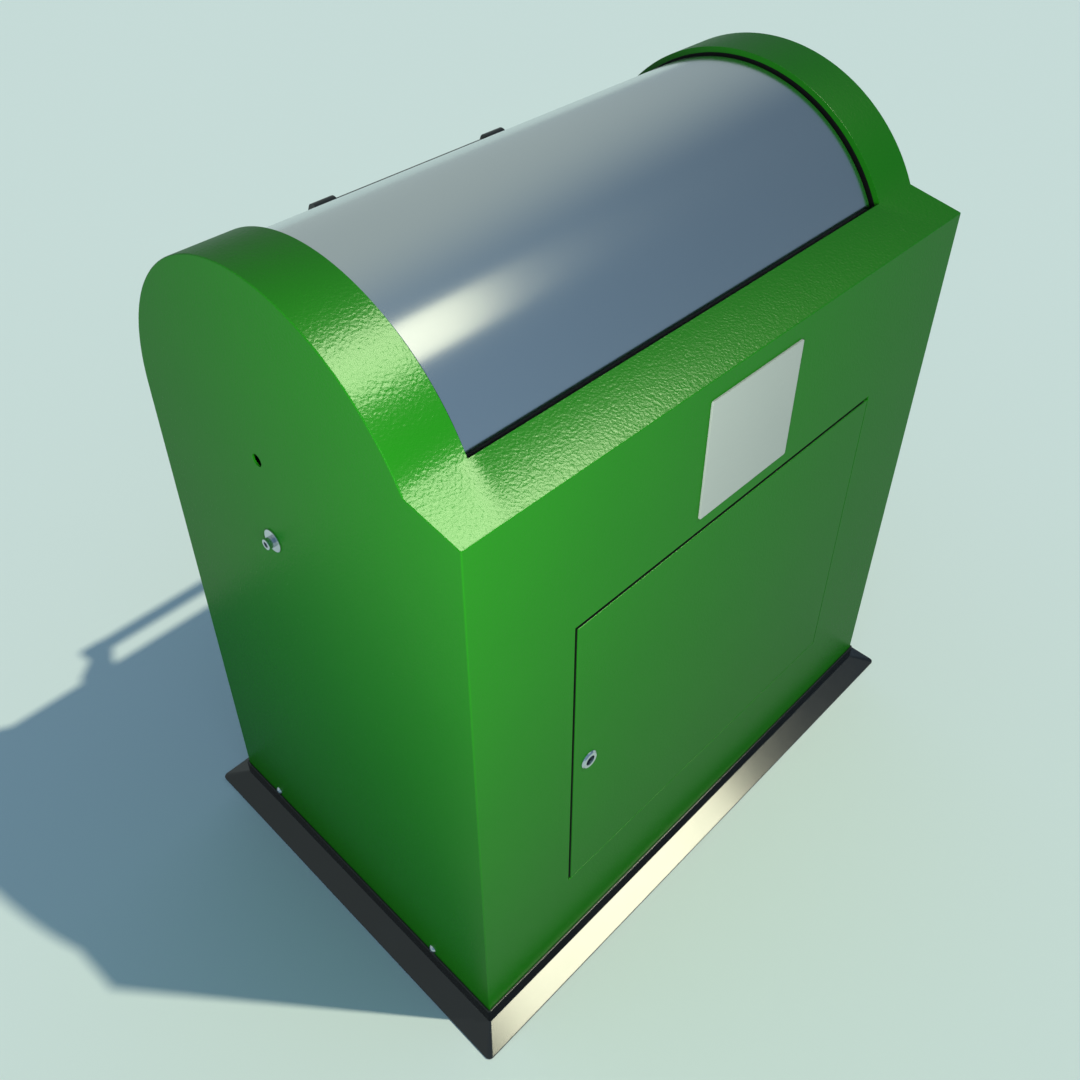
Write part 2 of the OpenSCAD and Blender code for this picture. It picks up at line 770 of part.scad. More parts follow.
module lever_arm(dir) rotate(dir) {
    corner_rect(0, -arm_w / 2, stop_ring + arm_past - arm_w / 2, arm_w / 2);
    translate([stop_ring + arm_past - arm_w / 2, 0]) circle(arm_w / 2);
}

// Two-armed lever on the shaft's end: one arm for each limit of the drum
module stop_lever() on_axis(lever_x) difference() {
    union() {
        linear_extrude(lever_t) {
            circle(lever_disc_r);
            lever_arm(closed_arm_dir);
            lever_arm(open_arm_dir);
        }
        cylinder(h = lever_boss_l, r = lever_boss_r);
    }
    translate([0, 0, -cut]) {
        cylinder(h = lever_boss_l + 2 * cut, r = shaft_r + fit);
        pin_place() cylinder(h = lever_t + 2 * cut, r = pin_r);
    }
    set_screw_place() cylinder(h = lever_boss_r, r = set_screw_r + fit);
}

module set_screw_place() translate([0, 0, (lever_t + lever_boss_l) / 2])
    rotate([-90, 0, 0]) children();

module lever_set_screws() color(zinc) both_sides() on_axis(lever_x) set_screw_place()
    translate([0, 0, shaft_r + fit]) cylinder(h = lever_boss_r - shaft_r - seat, r = set_screw_r);

module shaft_end_washers() color(zinc) both_sides() on_axis(lever_x + lever_boss_l)
    tube(end_bolt_r + fit, end_washer_r, end_washer_t);

module shaft_end_bolts() color(zinc) both_sides()
    on_axis(lever_x + lever_boss_l + end_washer_t) mirror([0, 0, 1])
    hex_bolt(big_af, big_head_t, end_bolt_r, end_washer_t + end_bolt_l);

module door_frame() color(green_paint) difference() {
    union() {
        through(front_in, jamb_d) difference() {
            corner_rect(-open_x - sheet_t, opening_z - sheet_t, open_x + sheet_t, open_z2 + sheet_t);
            corner_rect(-open_x, opening_z, open_x, open_z2);
        }
        through(lip_front, sheet_t) difference() {
            corner_rect(-open_x - sheet_t, opening_z - sheet_t, lip_end, open_z2 + sheet_t);
            corner_rect(-open_x + lip_w, opening_z + lip_w, lip_end + cut, open_z2 - lip_w);
        }
    }
    translate([pivot_x, pivot_y, opening_z - sheet_t - cut])
        cylinder(h = opening_h + 2 * (sheet_t + cut), r = pivot_r + bush_wall + 2 * fit);
}

module door_gasket() color(black_rubber) through(pan_back + seat, lip_front - pan_back - seat)
    difference() {
        corner_rect(-open_x + gasket_set, opening_z + gasket_set, lip_end, open_z2 - gasket_set);
        corner_rect(-open_x + gasket_set + gasket_w, opening_z + gasket_set + gasket_w,
                    lip_end + cut, open_z2 - gasket_set - gasket_w);
    }

// A flanged bush in the frame's lower wall, its collar filling the gap to the door
module door_bush(gap) difference() {
    union() {
        translate([0, 0, -sheet_t])
            cylinder(h = sheet_t + gap - seat, r = pivot_r + bush_wall + fit);
        cylinder(h = gap - seat, r = bush_collar_r);
    }
    translate([0, 0, -sheet_t - cut])
        cylinder(h = sheet_t + gap + 2 * cut, r = pivot_r + run);
}

module door_bushes() color(bronze) {
    translate([pivot_x, pivot_y, opening_z]) door_bush(close_gap);
    translate([pivot_x, pivot_y, open_z2]) mirror([0, 0, 1]) door_bush(door_gap);
}

module door_panel() color(green_paint) difference() {
    translate([door_x1, front_y, door_z1])
        cube([door_x2 - door_x1, pan_d, door_z2 - door_z1]);
    translate([door_x1 + door_t, front_y + door_t, door_z1 + door_t])
        cube([door_x2 - door_x1 - 2 * door_t, pan_d, door_z2 - door_z1 - 2 * door_t]);
    translate([pivot_x, pivot_y, door_z1 - cut])
        cylinder(h = door_z2 - door_z1 + 2 * cut, r = pivot_r + fit);
    on_lock(front_y - cut) cylinder(h = door_t + 2 * cut, r = barrel_r + fit);
}

// A top-hat rib behind the door's skin
module door_rib() linear_extrude(door_z2 - door_z1 - 2 * (door_t + seat)) {
    for (side = [-1, 1]) {
        translate([side * (stiff_w + stiff_foot) / 2, stiff_t / 2])
            square([stiff_foot, stiff_t], center = true);
        translate([side * (stiff_w - stiff_t) / 2, stiff_d / 2])
            square([stiff_t, stiff_d], center = true);
    }
    translate([0, stiff_d - stiff_t / 2]) square([stiff_w, stiff_t], center = true);
}

module door_stiffeners() color(galvanised)
    for (side = [-1, 1])
        translate([side * opening_w * stiff_x_share, front_y + door_t, door_z1 + door_t + seat])
            door_rib();

// A pin through the door's fold and the bush under it, with a collar inside the fold
module door_pin(gap) {
    below = door_t + gap + sheet_t + pin_past;
    translate([0, 0, -below]) cylinder(h = below + pin_collar_h, r = pivot_r);
    cylinder(h = pin_collar_h, r = pin_collar_r - 2 * fit);
}

module door_pins() color(zinc) {
    translate([pivot_x, pivot_y, door_z1 + door_t]) door_pin(close_gap);
    translate([pivot_x, pivot_y, door_z2 - door_t]) mirror([0, 0, 1]) door_pin(door_gap);
}

module lock_body() color(zinc) on_lock(lock_front) {
    barrel_end = cam_y - seat - lock_front;
    rotate_extrude() polygon([
        [recess_r, 0], [lock_r - lock_chamfer, 0], [lock_r, lock_chamfer],
        [lock_r, lock_proud], [barrel_r, lock_proud], [barrel_r, barrel_end],
        [spindle_r + run, barrel_end], [spindle_r + run, recess_d], [recess_r, recess_d]]);
}

module lock_nut() color(zinc) on_lock(front_y + door_t)
    hex_nut(lock_nut_af, lock_nut_t, barrel_r);

module lock_spindle() color(zinc) on_lock(lock_front) difference() {
    shoulder = cam_y - lock_front;
    union() {
        translate([0, 0, key_set])
            rotate(30) cylinder(h = recess_d - key_set - seat, r = key_corner_r, $fn = 3);
        translate([0, 0, recess_d - seat - spindle_collar_t])
            cylinder(h = spindle_collar_t, r = spindle_collar_r);
        translate([0, 0, recess_d - seat - spindle_collar_t])
            cylinder(h = shoulder - recess_d + seat + spindle_collar_t, r = spindle_r);
        translate([0, 0, shoulder])
            linear_extrude(cam_t - seat) square(cam_square, center = true);
    }
    translate([0, 0, shoulder + cam_t - cam_screw_l])
        cylinder(h = cam_screw_l + cut, r = cam_screw_r + fit);
}

module lock_cam() color(zinc) on_lock(cam_y) linear_extrude(cam_t) difference() {
    union() {
        circle(cam_hub_r);
        corner_rect(-cam_w / 2, 0, cam_w / 2, cam_l - cam_w / 2);
        translate([0, cam_l - cam_w / 2]) circle(cam_w / 2);
    }
    square(cam_square + 2 * fit, center = true);
}

module cam_screw() color(zinc) on_lock(cam_y + cam_t) {
    cylinder(h = cam_screw_head_h, r = cam_screw_head_r);
    translate([0, 0, seat - cam_screw_l]) cylinder(h = cam_screw_l, r = cam_screw_r);
}

module left_side_panel() color(green_paint) on_side(-1) side_panel();
module right_side_panel() color(green_paint) on_side(1) side_panel();
module left_arch_band() color(green_paint) on_side(-1) arch_band();
module right_arch_band() color(green_paint) on_side(1) arch_band();
module left_cheek_plate() color(green_paint) on_side(-1) cheek_plate();
module right_cheek_plate() color(green_paint) on_side(1) cheek_plate();
module left_drum_seal() color(black_rubber) on_side(-1) drum_seal();
module right_drum_seal() color(black_rubber) on_side(1) drum_seal();
module left_bearing_housing() color(galvanised) on_side(-1) bearing_housing();
module right_bearing_housing() color(galvanised) on_side(1) bearing_housing();
module left_bearing_bush() color(bronze) on_side(-1) bearing_bush();
module right_bearing_bush() color(bronze) on_side(1) bearing_bush();
module left_drum_disc() color(stainless) on_side(-1) drum_disc();
module right_drum_disc() color(stainless) on_side(1) drum_disc();
module left_stub_shaft() color(zinc) on_side(-1) stub_shaft();
module right_stub_shaft() color(zinc) on_side(1) stub_shaft();
module left_counterweight() color(galvanised) on_side(-1) counterweight();
module right_counterweight() color(galvanised) on_side(1) counterweight();
module left_handle_bracket() color(black_plastic) on_side(-1) handle_bracket();
module right_handle_bracket() color(black_plastic) on_side(1) handle_bracket();
module left_stop_lever() color(galvanised) on_side(-1) stop_lever();
module right_stop_lever() color(galvanised) on_side(1) stop_lever();

base_frame();
base_skirt();
base_screws();
left_side_panel();
right_side_panel();
front_cover();
rear_panel();
left_arch_band();
right_arch_band();
left_cheek_plate();
right_cheek_plate();
left_drum_seal();
right_drum_seal();
ledge_seal();
sill_trim();
info_plate();
left_bearing_housing();
right_bearing_housing();
left_bearing_bush();
right_bearing_bush();
bearing_bolts();
bearing_nuts();
stop_bolts();
stop_washers();
stop_nuts();
stop_buffers();
drum_shell();
left_drum_disc();
right_drum_disc();
left_stub_shaft();
right_stub_shaft();
hub_bolts();
hub_nuts();
drum_edge_bar();
left_counterweight();
right_counterweight();
counterweight_bolts();
counterweight_nuts();
handle_bar();
left_handle_bracket();
right_handle_bracket();
handle_screws();
left_stop_lever();
right_stop_lever();
lever_set_screws();
shaft_end_washers();
shaft_end_bolts();
door_frame();
door_gasket();
door_bushes();
door_panel();
door_stiffeners();
door_pins();
lock_body();
lock_nut();
lock_spindle();
lock_cam();
cam_screw();
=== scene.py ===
"""Inlet column of a large waste container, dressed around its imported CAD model.

A green steel housing stands on a black skirt. A stainless drum turns in its top, a locked
service door closes its front, and a black handle on the far side turns the drum.
Everything is in metres, in the frame of the CAD model: +Z up, -Y the service side.
"""

from __future__ import annotations

import json
import logging
import math
from dataclasses import dataclass
from enum import Enum
from typing import Any, Callable, Iterable, Sequence

import bmesh
import bpy
from mathutils import Matrix, Vector

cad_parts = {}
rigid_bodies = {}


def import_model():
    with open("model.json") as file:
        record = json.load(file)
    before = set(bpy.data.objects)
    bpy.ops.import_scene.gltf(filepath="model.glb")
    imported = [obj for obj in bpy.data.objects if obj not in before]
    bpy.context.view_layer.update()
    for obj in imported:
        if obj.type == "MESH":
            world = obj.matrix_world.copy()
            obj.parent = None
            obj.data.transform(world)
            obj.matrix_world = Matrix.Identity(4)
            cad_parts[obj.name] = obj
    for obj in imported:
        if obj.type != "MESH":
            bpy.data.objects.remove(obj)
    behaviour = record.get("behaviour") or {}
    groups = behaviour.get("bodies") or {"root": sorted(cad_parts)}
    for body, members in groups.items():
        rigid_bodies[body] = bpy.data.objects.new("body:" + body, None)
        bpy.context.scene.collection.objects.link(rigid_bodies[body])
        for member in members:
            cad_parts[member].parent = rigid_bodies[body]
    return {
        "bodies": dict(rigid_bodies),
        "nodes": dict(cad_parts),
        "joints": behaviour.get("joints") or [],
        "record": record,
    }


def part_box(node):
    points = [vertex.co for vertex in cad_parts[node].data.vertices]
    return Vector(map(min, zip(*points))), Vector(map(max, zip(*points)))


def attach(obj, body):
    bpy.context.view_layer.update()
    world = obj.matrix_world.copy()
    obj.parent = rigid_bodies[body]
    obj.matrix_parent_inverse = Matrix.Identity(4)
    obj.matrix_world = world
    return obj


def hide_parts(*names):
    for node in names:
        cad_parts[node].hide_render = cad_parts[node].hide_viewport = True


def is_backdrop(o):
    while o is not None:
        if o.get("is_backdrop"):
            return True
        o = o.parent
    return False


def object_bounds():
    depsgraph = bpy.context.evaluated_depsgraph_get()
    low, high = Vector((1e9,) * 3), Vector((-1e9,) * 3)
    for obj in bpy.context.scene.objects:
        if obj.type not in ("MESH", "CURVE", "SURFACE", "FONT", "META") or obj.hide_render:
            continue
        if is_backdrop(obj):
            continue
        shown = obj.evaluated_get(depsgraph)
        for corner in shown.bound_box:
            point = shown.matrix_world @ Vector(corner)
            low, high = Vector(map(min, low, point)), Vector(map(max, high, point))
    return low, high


log = logging.getLogger("inlet_column")

MM = 0.001
OVERRUN = 1 * MM  # how far a cutter passes the face that it opens
SAME = 1e-6  # metres: points closer together than this are one
SMOOTH_UP_TO = 38.0  # degrees: a larger angle between two faces shows as an edge
FLAT_WEIGHT = 60  # how far large flat faces hold the shading of the roundings beside them
Point = tuple[float, float]
Place = tuple[Vector, Vector]
Colour = tuple[float, float, float]


class Body(Enum):
    """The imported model's rigid bodies."""

    COLUMN = "column"
    DRUM = "drum"
    DOOR = "door"
    LOCK = "lock"


class Side(Enum):
    """The two ends of the drum's axis."""

    LEFT = -1
    RIGHT = 1

    @property
    def word(self) -> str:
        """The side's name as the CAD nodes spell it."""
        return self.name.lower()


def linear(code: str) -> tuple[float, float, float, float]:
    """Turns an sRGB hex colour to the linear colour that Blender's sockets hold.

    Args:
        code: Six hex digits, with or without a leading hash.

    Returns:
        Red, green, blue and an alpha of one.
    """
    channels = [int(code.lstrip("#")[i : i + 2], 16) / 255 for i in (0, 2, 4)]
    made = [c / 12.92 if c <= 0.04045 else ((c + 0.055) / 1.055) ** 2.4 for c in channels]
    return (made[0], made[1], made[2], 1.0)


def add_node(
    tree: bpy.types.NodeTree, kind: str, inputs: dict[str | int, Any] | None = None, **settings: Any
) -> bpy.types.Node:
    """Adds one node to a tree, with its settings, values and links.

    Args:
        tree: The tree that the node goes into.
        kind: The node's type name.
        inputs: Values, or output sockets to link, by input name or number.
        **settings: The node's own properties.

    Returns:
        The new node.
    """
    made = tree.nodes.new(kind)
    for name, value in settings.items():
        setattr(made, name, value)
    for name, value in (inputs or {}).items():
        if isinstance(value, bpy.types.NodeSocket):
            tree.links.new(value, made.inputs[name])
        else:
            made.inputs[name].default_value = value
    return made


def mixed(tree: bpy.types.NodeTree, share: bpy.types.NodeSocket, one: Any, two: Any) -> bpy.types.NodeSocket:
    """Mixes two colours in a node tree.

    Args:
        tree: The tree that the node goes into.
        share: The socket that runs from 0, for the first colour, to 1, for the second.
        one: The first colour, as a socket or as linear values with an alpha.
        two: The second colour.

    Returns:
        The mixed colour's socket.
    """
    return add_node(tree, "ShaderNodeMix", {0: share, 6: one, 7: two}, data_type="RGBA").outputs[2]


# Finishes


@dataclass(frozen=True)
class Finish:
    """A real finish: one procedural material, made once and shared."""

    name: str

    def shade(self, tree: bpy.types.NodeTree, place: bpy.types.NodeSocket) -> bpy.types.Node:
        """Adds the finish's own nodes.

        Args:
            tree: The material's node tree.
            place: Object coordinates, in metres.

        Returns:
            The Principled BSDF.
        """
        raise NotImplementedError

    def material(self) -> bpy.types.Material:
        """Makes the finish's material when it is first asked for.

        Returns:
            The material, shared by every piece with this finish.
        """
        known = bpy.data.materials.get(self.name)
        if known:
            return known
        made = bpy.data.materials.new(self.name)
        made.use_nodes = True
        tree = made.node_tree
        tree.nodes.clear()
        place = add_node(tree, "ShaderNodeTexCoord").outputs["Object"]
        shader = self.shade(tree, place)
        add_node(tree, "ShaderNodeOutputMaterial", {"Surface": shader.outputs[0]})
        return made


@dataclass(frozen=True)
class HammeredPowderCoat(Finish):
    """Polyester powder coat with a hammered texture, sprayed on and baked.

    The clear resin flows into rounded bumps a few millimetres wide, so a gleam breaks up
    into flecks at its edges, while the pigment below keeps an even, deep green.
    """

    name: str = "hammered_powder_coat_green"
    colour: str = "12560B"
    second: str = "10530A"
    patch_mm: float = 160.0
    bump_mm: float = 4.0
    bump_depth_mm: float = 0.4
    bump_strength: float = 1.0
    pigment_bump_strength: float = 0.25
    pigment_roughness: float = 0.6
    coat_weight: float = 0.34
    coat_roughness: float = 0.25

    def shade(self, tree: bpy.types.NodeTree, place: bpy.types.NodeSocket) -> bpy.types.Node:
        """Adds the pigment's colour and the resin's bumps. See Finish.shade."""
        bumps = add_node(tree, "ShaderNodeTexNoise", {
            "Vector": place, "Scale": 1 / (self.bump_mm * MM),
            "Detail": 1.5, "Roughness": 0.4, "Distortion": 0.3})
        patch = add_node(tree, "ShaderNodeTexNoise", {
            "Vector": place, "Scale": 1 / (self.patch_mm * MM), "Detail": 3.0})
        pigment = mixed(tree, patch.outputs["Fac"], linear(self.colour), linear(self.second))
        soft, sharp = (
            add_node(tree, "ShaderNodeBump", {
                "Height": bumps.outputs["Fac"], "Strength": strength, "Distance": self.bump_depth_mm * MM})
            for strength in (self.pigment_bump_strength, self.bump_strength))
        return add_node(tree, "ShaderNodeBsdfPrincipled", {
            "Base Color": pigment, "Roughness": self.pigment_roughness,
            "Specular IOR Level": 0.0, "Coat Weight": self.coat_weight,
            "Coat Roughness": self.coat_roughness, "Coat IOR": 1.5,
            "Normal": soft.outputs["Normal"], "Coat Normal": sharp.outputs["Normal"]})


@dataclass(frozen=True)
class PlainFinish(Finish):
    """A finish with two close colours in patches, a range of roughness and one fine grain.

    Each kind of metal, rubber or plastic below gives its own sizes and stretch.
    """

    colour: str = "808080"
    second: str = "707070"
    roughness: tuple[float, float] = (0.4, 0.5)
    metallic: float = 0.0
    specular: float = 0.5
    grain_mm: float = 1.0
    stretch: tuple[float, float, float] = (1.0, 1.0, 1.0)
    depth_mm: float = 0.02
    patch_mm: float = 60.0

    def shade(self, tree: bpy.types.NodeTree, place: bpy.types.NodeSocket) -> bpy.types.Node:
        """Adds the colour patches, the roughness range and the grain. See Finish.shade."""
        turned = add_node(tree, "ShaderNodeMapping", {"Vector": place, "Scale": self.stretch})
        grain = add_node(tree, "ShaderNodeTexNoise", {
            "Vector": turned.outputs[0], "Scale": 1 / (self.grain_mm * MM),
            "Detail": 3.0, "Roughness": 0.55})
        patch = add_node(tree, "ShaderNodeTexNoise", {
            "Vector": place, "Scale": 1 / (self.patch_mm * MM), "Detail": 4.0})
        colour = mixed(tree, patch.outputs["Fac"], linear(self.colour), linear(self.second))
        rough = add_node(tree, "ShaderNodeMapRange", {
            "Value": grain.outputs["Fac"], "From Min": 0.3, "From Max": 0.7,
            "To Min": self.roughness[0], "To Max": self.roughness[1]})
        bump = add_node(tree, "ShaderNodeBump", {
            "Height": grain.outputs["Fac"], "Strength": 0.5, "Distance": self.depth_mm * MM})
        return add_node(tree, "ShaderNodeBsdfPrincipled", {
            "Base Color": colour, "Roughness": rough.outputs["Result"], "Metallic": self.metallic,
            "Specular IOR Level": self.specular, "Normal": bump.outputs["Normal"]})


COAT = HammeredPowderCoat()
# Stove enamel over steel: smooth, deep black and nearly mirror-like
ENAMEL = PlainFinish("black_stove_enamel", colour="0E0F12", second="121418", roughness=(0.15, 0.16),
                     grain_mm=30.0, depth_mm=0.0, patch_mm=90.0)
# Satin-ground austenitic stainless: an even, soft gleam with the grain along the drum
STAINLESS = PlainFinish("satin_stainless_steel", colour="CDD0D2", second="C9CDD0",
                        roughness=(0.17, 0.19), metallic=1.0, grain_mm=0.8,
                        stretch=(0.02, 1.0, 1.0), depth_mm=0.0005, patch_mm=220.0)
# Bright zinc plating on turned steel: pale and slightly blue, with cloudy patches
ZINC = PlainFinish("bright_zinc_plated_steel", colour="D4DAE0", second="BCC3CA", roughness=(0.18, 0.30),
                   metallic=1.0, grain_mm=0.6, depth_mm=0.01, patch_mm=6.0)
# Hot-dip galvanised steel inside the column: dull grey with spangle patches
GALVANISED = PlainFinish("hot_dip_galvanised_steel", colour="9AA1A6", second="7C8388",
                         roughness=(0.42, 0.60), metallic=1.0, grain_mm=3.0, depth_mm=0.03, patch_mm=14.0)
# Sand-cast grey iron: dark, matt and grainy
IRON = PlainFinish("sand_cast_iron", colour="4A4A4C", second="3A3A3C", roughness=(0.62, 0.80),
                   metallic=1.0, grain_mm=1.2, depth_mm=0.20, patch_mm=30.0)
# Extruded rubber: matt black with a fine bloom
RUBBER = PlainFinish("extruded_black_rubber", colour="060607", second="0A0A0B", roughness=(0.75, 0.88),
                     specular=0.2, grain_mm=0.9, depth_mm=0.03, patch_mm=25.0)
# The same rubber in brownish grey rather than black: painted shade, so its edge reads as the soft dark line
# that shade makes along the ledge at the drum
SHADE_LINE_RUBBER = PlainFinish("weathered_grey_rubber", colour="423E38", second="38352F", roughness=(0.72, 0.85),
                          specular=0.2, grain_mm=0.9, depth_mm=0.03, patch_mm=40.0)
# Sintered bronze, oiled: warm brown metal
BRONZE = PlainFinish("sintered_bronze", colour="B08A52", second="8F6E3F", roughness=(0.35, 0.48),
                     metallic=1.0, grain_mm=0.5, depth_mm=0.02, patch_mm=8.0)
# Glass-filled nylon, moulded in an eroded tool: black with a soft grainy sheen
NYLON = PlainFinish("moulded_black_nylon", colour="0C0D0F", second="121316", roughness=(0.34, 0.46),
                    grain_mm=1.1, depth_mm=0.05, patch_mm=30.0)
# Satin black on the frame behind the door: painted shade, so the gap round the door reads as the dark line
# of the shade inside it
GAP_SHADE_BLACK = PlainFinish("satin_black_powder_coat", colour="0D120D", second="101510",
                         roughness=(0.45, 0.55), specular=0.3, grain_mm=1.0, depth_mm=0.05, patch_mm=50.0)
# Lacquered aluminium sheet, left blank: an even light grey with a faint sheen
PLATE = PlainFinish("lacquered_aluminium_sheet", colour="7E8486", second="7A8183", roughness=(0.48, 0.56),
                    specular=0.4, grain_mm=0.7, stretch=(0.03, 1.0, 1.0), depth_mm=0.005, patch_mm=120.0)


# Shapes


def arc(centre: Point, radius: float, start: float, end: float, steps: int) -> list[Point]:
    """Points on an arc.

    Args:
        centre: The arc's centre.
        radius: Its radius.
        start: The first point's direction, in degrees.
        end: The last point's direction, in degrees.
        steps: How many chords.

    Returns:
        The points, both ends included.
    """
    angles = [math.radians(start + (end - start) * i / steps) for i in range(steps + 1)]
    return [(centre[0] + radius * math.cos(a), centre[1] + radius * math.sin(a)) for a in angles]


def rounded_corners(half_x: float, half_y: float, radius: float, steps: int = 6) -> list[Point]:
    """A rectangle's outline with rounded corners, about the origin.

    Args:
        half_x: Half its width.
        half_y: Half its depth.
        radius: The corners' radius.
        steps: How many chords make a corner.

    Returns:
        The outline's points.
    """
    made: list[Point] = []
    for sx, sy, start in ((1, 1, 0), (-1, 1, 90), (-1, -1, 180), (1, -1, 270)):
        made += arc((sx * (half_x - radius), sy * (half_y - radius)), radius, start, start + 90, steps)
    return made


class Shape:
    """A mesh under construction, in metres in the CAD frame."""

    def __init__(self, mesh: bpy.types.Mesh | None = None) -> None:
        """Starts a shape.

        Args:
            mesh: A mesh to copy with its loose triangles joined, or None to start empty.
        """
        self.work = bmesh.new()
        if mesh is not None:
            self.work.from_mesh(mesh)
            bmesh.ops.remove_doubles(self.work, verts=self.work.verts, dist=SAME)

    def prism(self, outline: Sequence[Point], low: float, high: float, axis: str = "X") -> Shape:
        """Adds an outline extruded along an axis.

        Args:
            outline: The corners: (Y, Z) for axis X, (X, Z) for axis Y and (X, Y) for axis Z.
            low: Where the solid starts along the axis.
            high: Where it ends.
            axis: X, Y or Z.

        Returns:
            This shape.
        """
        order: dict[str, Callable[[float, float, float], tuple[float, float, float]]] = {
            "X": lambda a, b, t: (t, a, b), "Y": lambda a, b, t: (a, t, b), "Z": lambda a, b, t: (a, b, t)}
        rings = [[self.work.verts.new(order[axis](a, b, t)) for a, b in outline] for t in (low, high)]
        self.work.faces.new(rings[0])
        self.work.faces.new(rings[1][::-1])
        for i in range(len(outline)):
            j = (i + 1) % len(outline)
            self.work.faces.new((rings[0][i], rings[1][i], rings[1][j], rings[0][j]))
        return self.outward()

    def box(self, low: Sequence[float], high: Sequence[float]) -> Shape:
        """Adds a box between two corners."""
        ring = [(low[1], low[2]), (high[1], low[2]), (high[1], high[2]), (low[1], high[2])]
        return self.prism(ring, low[0], high[0])

    def lathe(self, profile: Sequence[Point], steps: int = 64) -> Shape:
        """Adds a profile turned about +Z at the origin.

        Args:
            profile: (radius, height) of each point, from one end of the axis to the other,
                or a closed ring that stays off the axis.
            steps: How many turns make the circle.

        Returns:
            This shape.
        """
        rings = []
        for radius, height in profile:
            if radius == 0:
                rings.append([self.work.verts.new((0, 0, height))])
                continue
            circle = arc((0, 0), radius, 0, 360, steps)[:-1]
            rings.append([self.work.verts.new((x, y, height)) for x, y in circle])
        closed = profile[0][0] > 0 and profile[-1][0] > 0
        for one, two in zip(rings, rings[1:] + rings[:1] if closed else rings[1:]):
            for i in range(steps):
                j = (i + 1) % steps
                corners = [one[i % len(one)], one[j % len(one)], two[j % len(two)], two[i % len(two)]]
                unique = list(dict.fromkeys(corners))
                if len(unique) > 2:
                    self.work.faces.new(unique)
        return self.outward()

    def loops(self, rings: Sequence[Sequence[Sequence[float]]]) -> Shape:
        """Adds a closed tube.

        Args:
            rings: Equally long loops of points, of which the last is joined to the first.

        Returns:
            This shape.
        """
        made = [[self.work.verts.new(p) for p in ring] for ring in rings]
        for one, two in zip(made, made[1:] + made[:1]):
            for i in range(len(one)):
                j = (i + 1) % len(one)
                self.work.faces.new((one[i], one[j], two[j], two[i]))
        return self.outward()

    def outward(self) -> Shape:
        """Turns every face to point outwards."""
        bmesh.ops.recalc_face_normals(self.work, faces=self.work.faces)
        return self

    def aimed(self, place: Sequence[float], towards: Sequence[float]) -> Shape:
        """Moves what was made on +Z at the origin.

        Args:
            place: Where the origin goes.
            towards: Where +Z then points.

        Returns:
            This shape.
        """
        turn = Vector(towards).to_track_quat("Z", "Y").to_matrix().to_4x4()
        bmesh.ops.transform(self.work, matrix=Matrix.Translation(place) @ turn, verts=self.work.verts)
        return self

    def flat_joined(self, degrees: float = 0.4) -> Shape:
        """Joins the triangles of each flat face."""
        bmesh.ops.dissolve_limit(
            self.work, angle_limit=math.radians(degrees), verts=self.work.verts, edges=self.work.edges)
        return self

    def scored(
        self, axis: int, cuts: Iterable[float], among: Callable[[bmesh.types.BMFace], bool]
    ) -> Shape:
        """Splits some faces along planes across an axis, without changing their form.

        Args:
            axis: 0, 1 or 2 for X, Y or Z.
            cuts: Where the planes stand.
            among: Says whether a face is split.

        Returns:
            This shape.
        """
        normal = Vector([float(i == axis) for i in range(3)])
        for cut in cuts:
            faces = [f for f in self.work.faces if among(f)]
            edges = list({e for f in faces for e in f.edges})
            verts = list({v for f in faces for v in f.verts})
            bmesh.ops.bisect_plane(
                self.work, geom=verts + edges + faces, dist=SAME, plane_co=normal * cut, plane_no=normal)
        return self

    def mesh(self, name: str) -> bpy.types.Mesh:
        """Ends the work.

        Args:
            name: The mesh's name.

        Returns:
            The shape as a mesh.
        """
        made = bpy.data.meshes.new(name)
        self.work.to_mesh(made)
        self.work.free()
        return made


def put(name: str, shape: Shape | bpy.types.Mesh) -> bpy.types.Object:
    """Links a new object at the origin.

    Args:
        name: The object's name.
        shape: A shape, which ends with this, or a mesh.

    Returns:
        The new object.
    """
    mesh = shape.mesh(name) if isinstance(shape, Shape) else shape
    made = bpy.data.objects.new(name, mesh)
    bpy.context.scene.collection.objects.link(made)
    return made


def discard(piece: bpy.types.Object) -> None:
    """Deletes a helper object and its mesh.

    Args:
        piece: The object.
    """
    mesh = piece.data
    bpy.data.objects.remove(piece)
    bpy.data.meshes.remove(mesh)


def settle(piece: bpy.types.Object) -> bpy.types.Object:
    """Turns a piece's modifiers into plain mesh.

    Args:
        piece: The object, which keeps its name.

    Returns:
        The same object, with the result as its mesh and no modifier.
    """
    graph = bpy.context.evaluated_depsgraph_get()
    graph.update()
    plain = bpy.data.meshes.new_from_object(
        piece.evaluated_get(graph), preserve_all_data_layers=True, depsgraph=graph)
    piece.modifiers.clear()
    old = piece.data
    piece.data = plain
    bpy.data.meshes.remove(old)
    return piece


def carve(base: Shape, cutters: Iterable[Shape], keep_common: bool = False) -> Shape:
    """Cuts shapes out of a shape.

    Args:
        base: What is cut.
        cutters: What is taken away.
        keep_common: Keeps what lies inside each cutter instead of what lies outside.

    Returns:
        The result as a new shape.
    """
    work = put("carved", base)
    tools = []
    for cutter in cutters:
        tools.append(put("cutter", cutter))
        step = work.modifiers.new("cut", "BOOLEAN")
        step.operation = "INTERSECT" if keep_common else "DIFFERENCE"
        step.solver, step.object = "EXACT", tools[-1]
    settle(work)
    made = Shape(work.data)
    for done in [work, *tools]:
        discard(done)
    return made


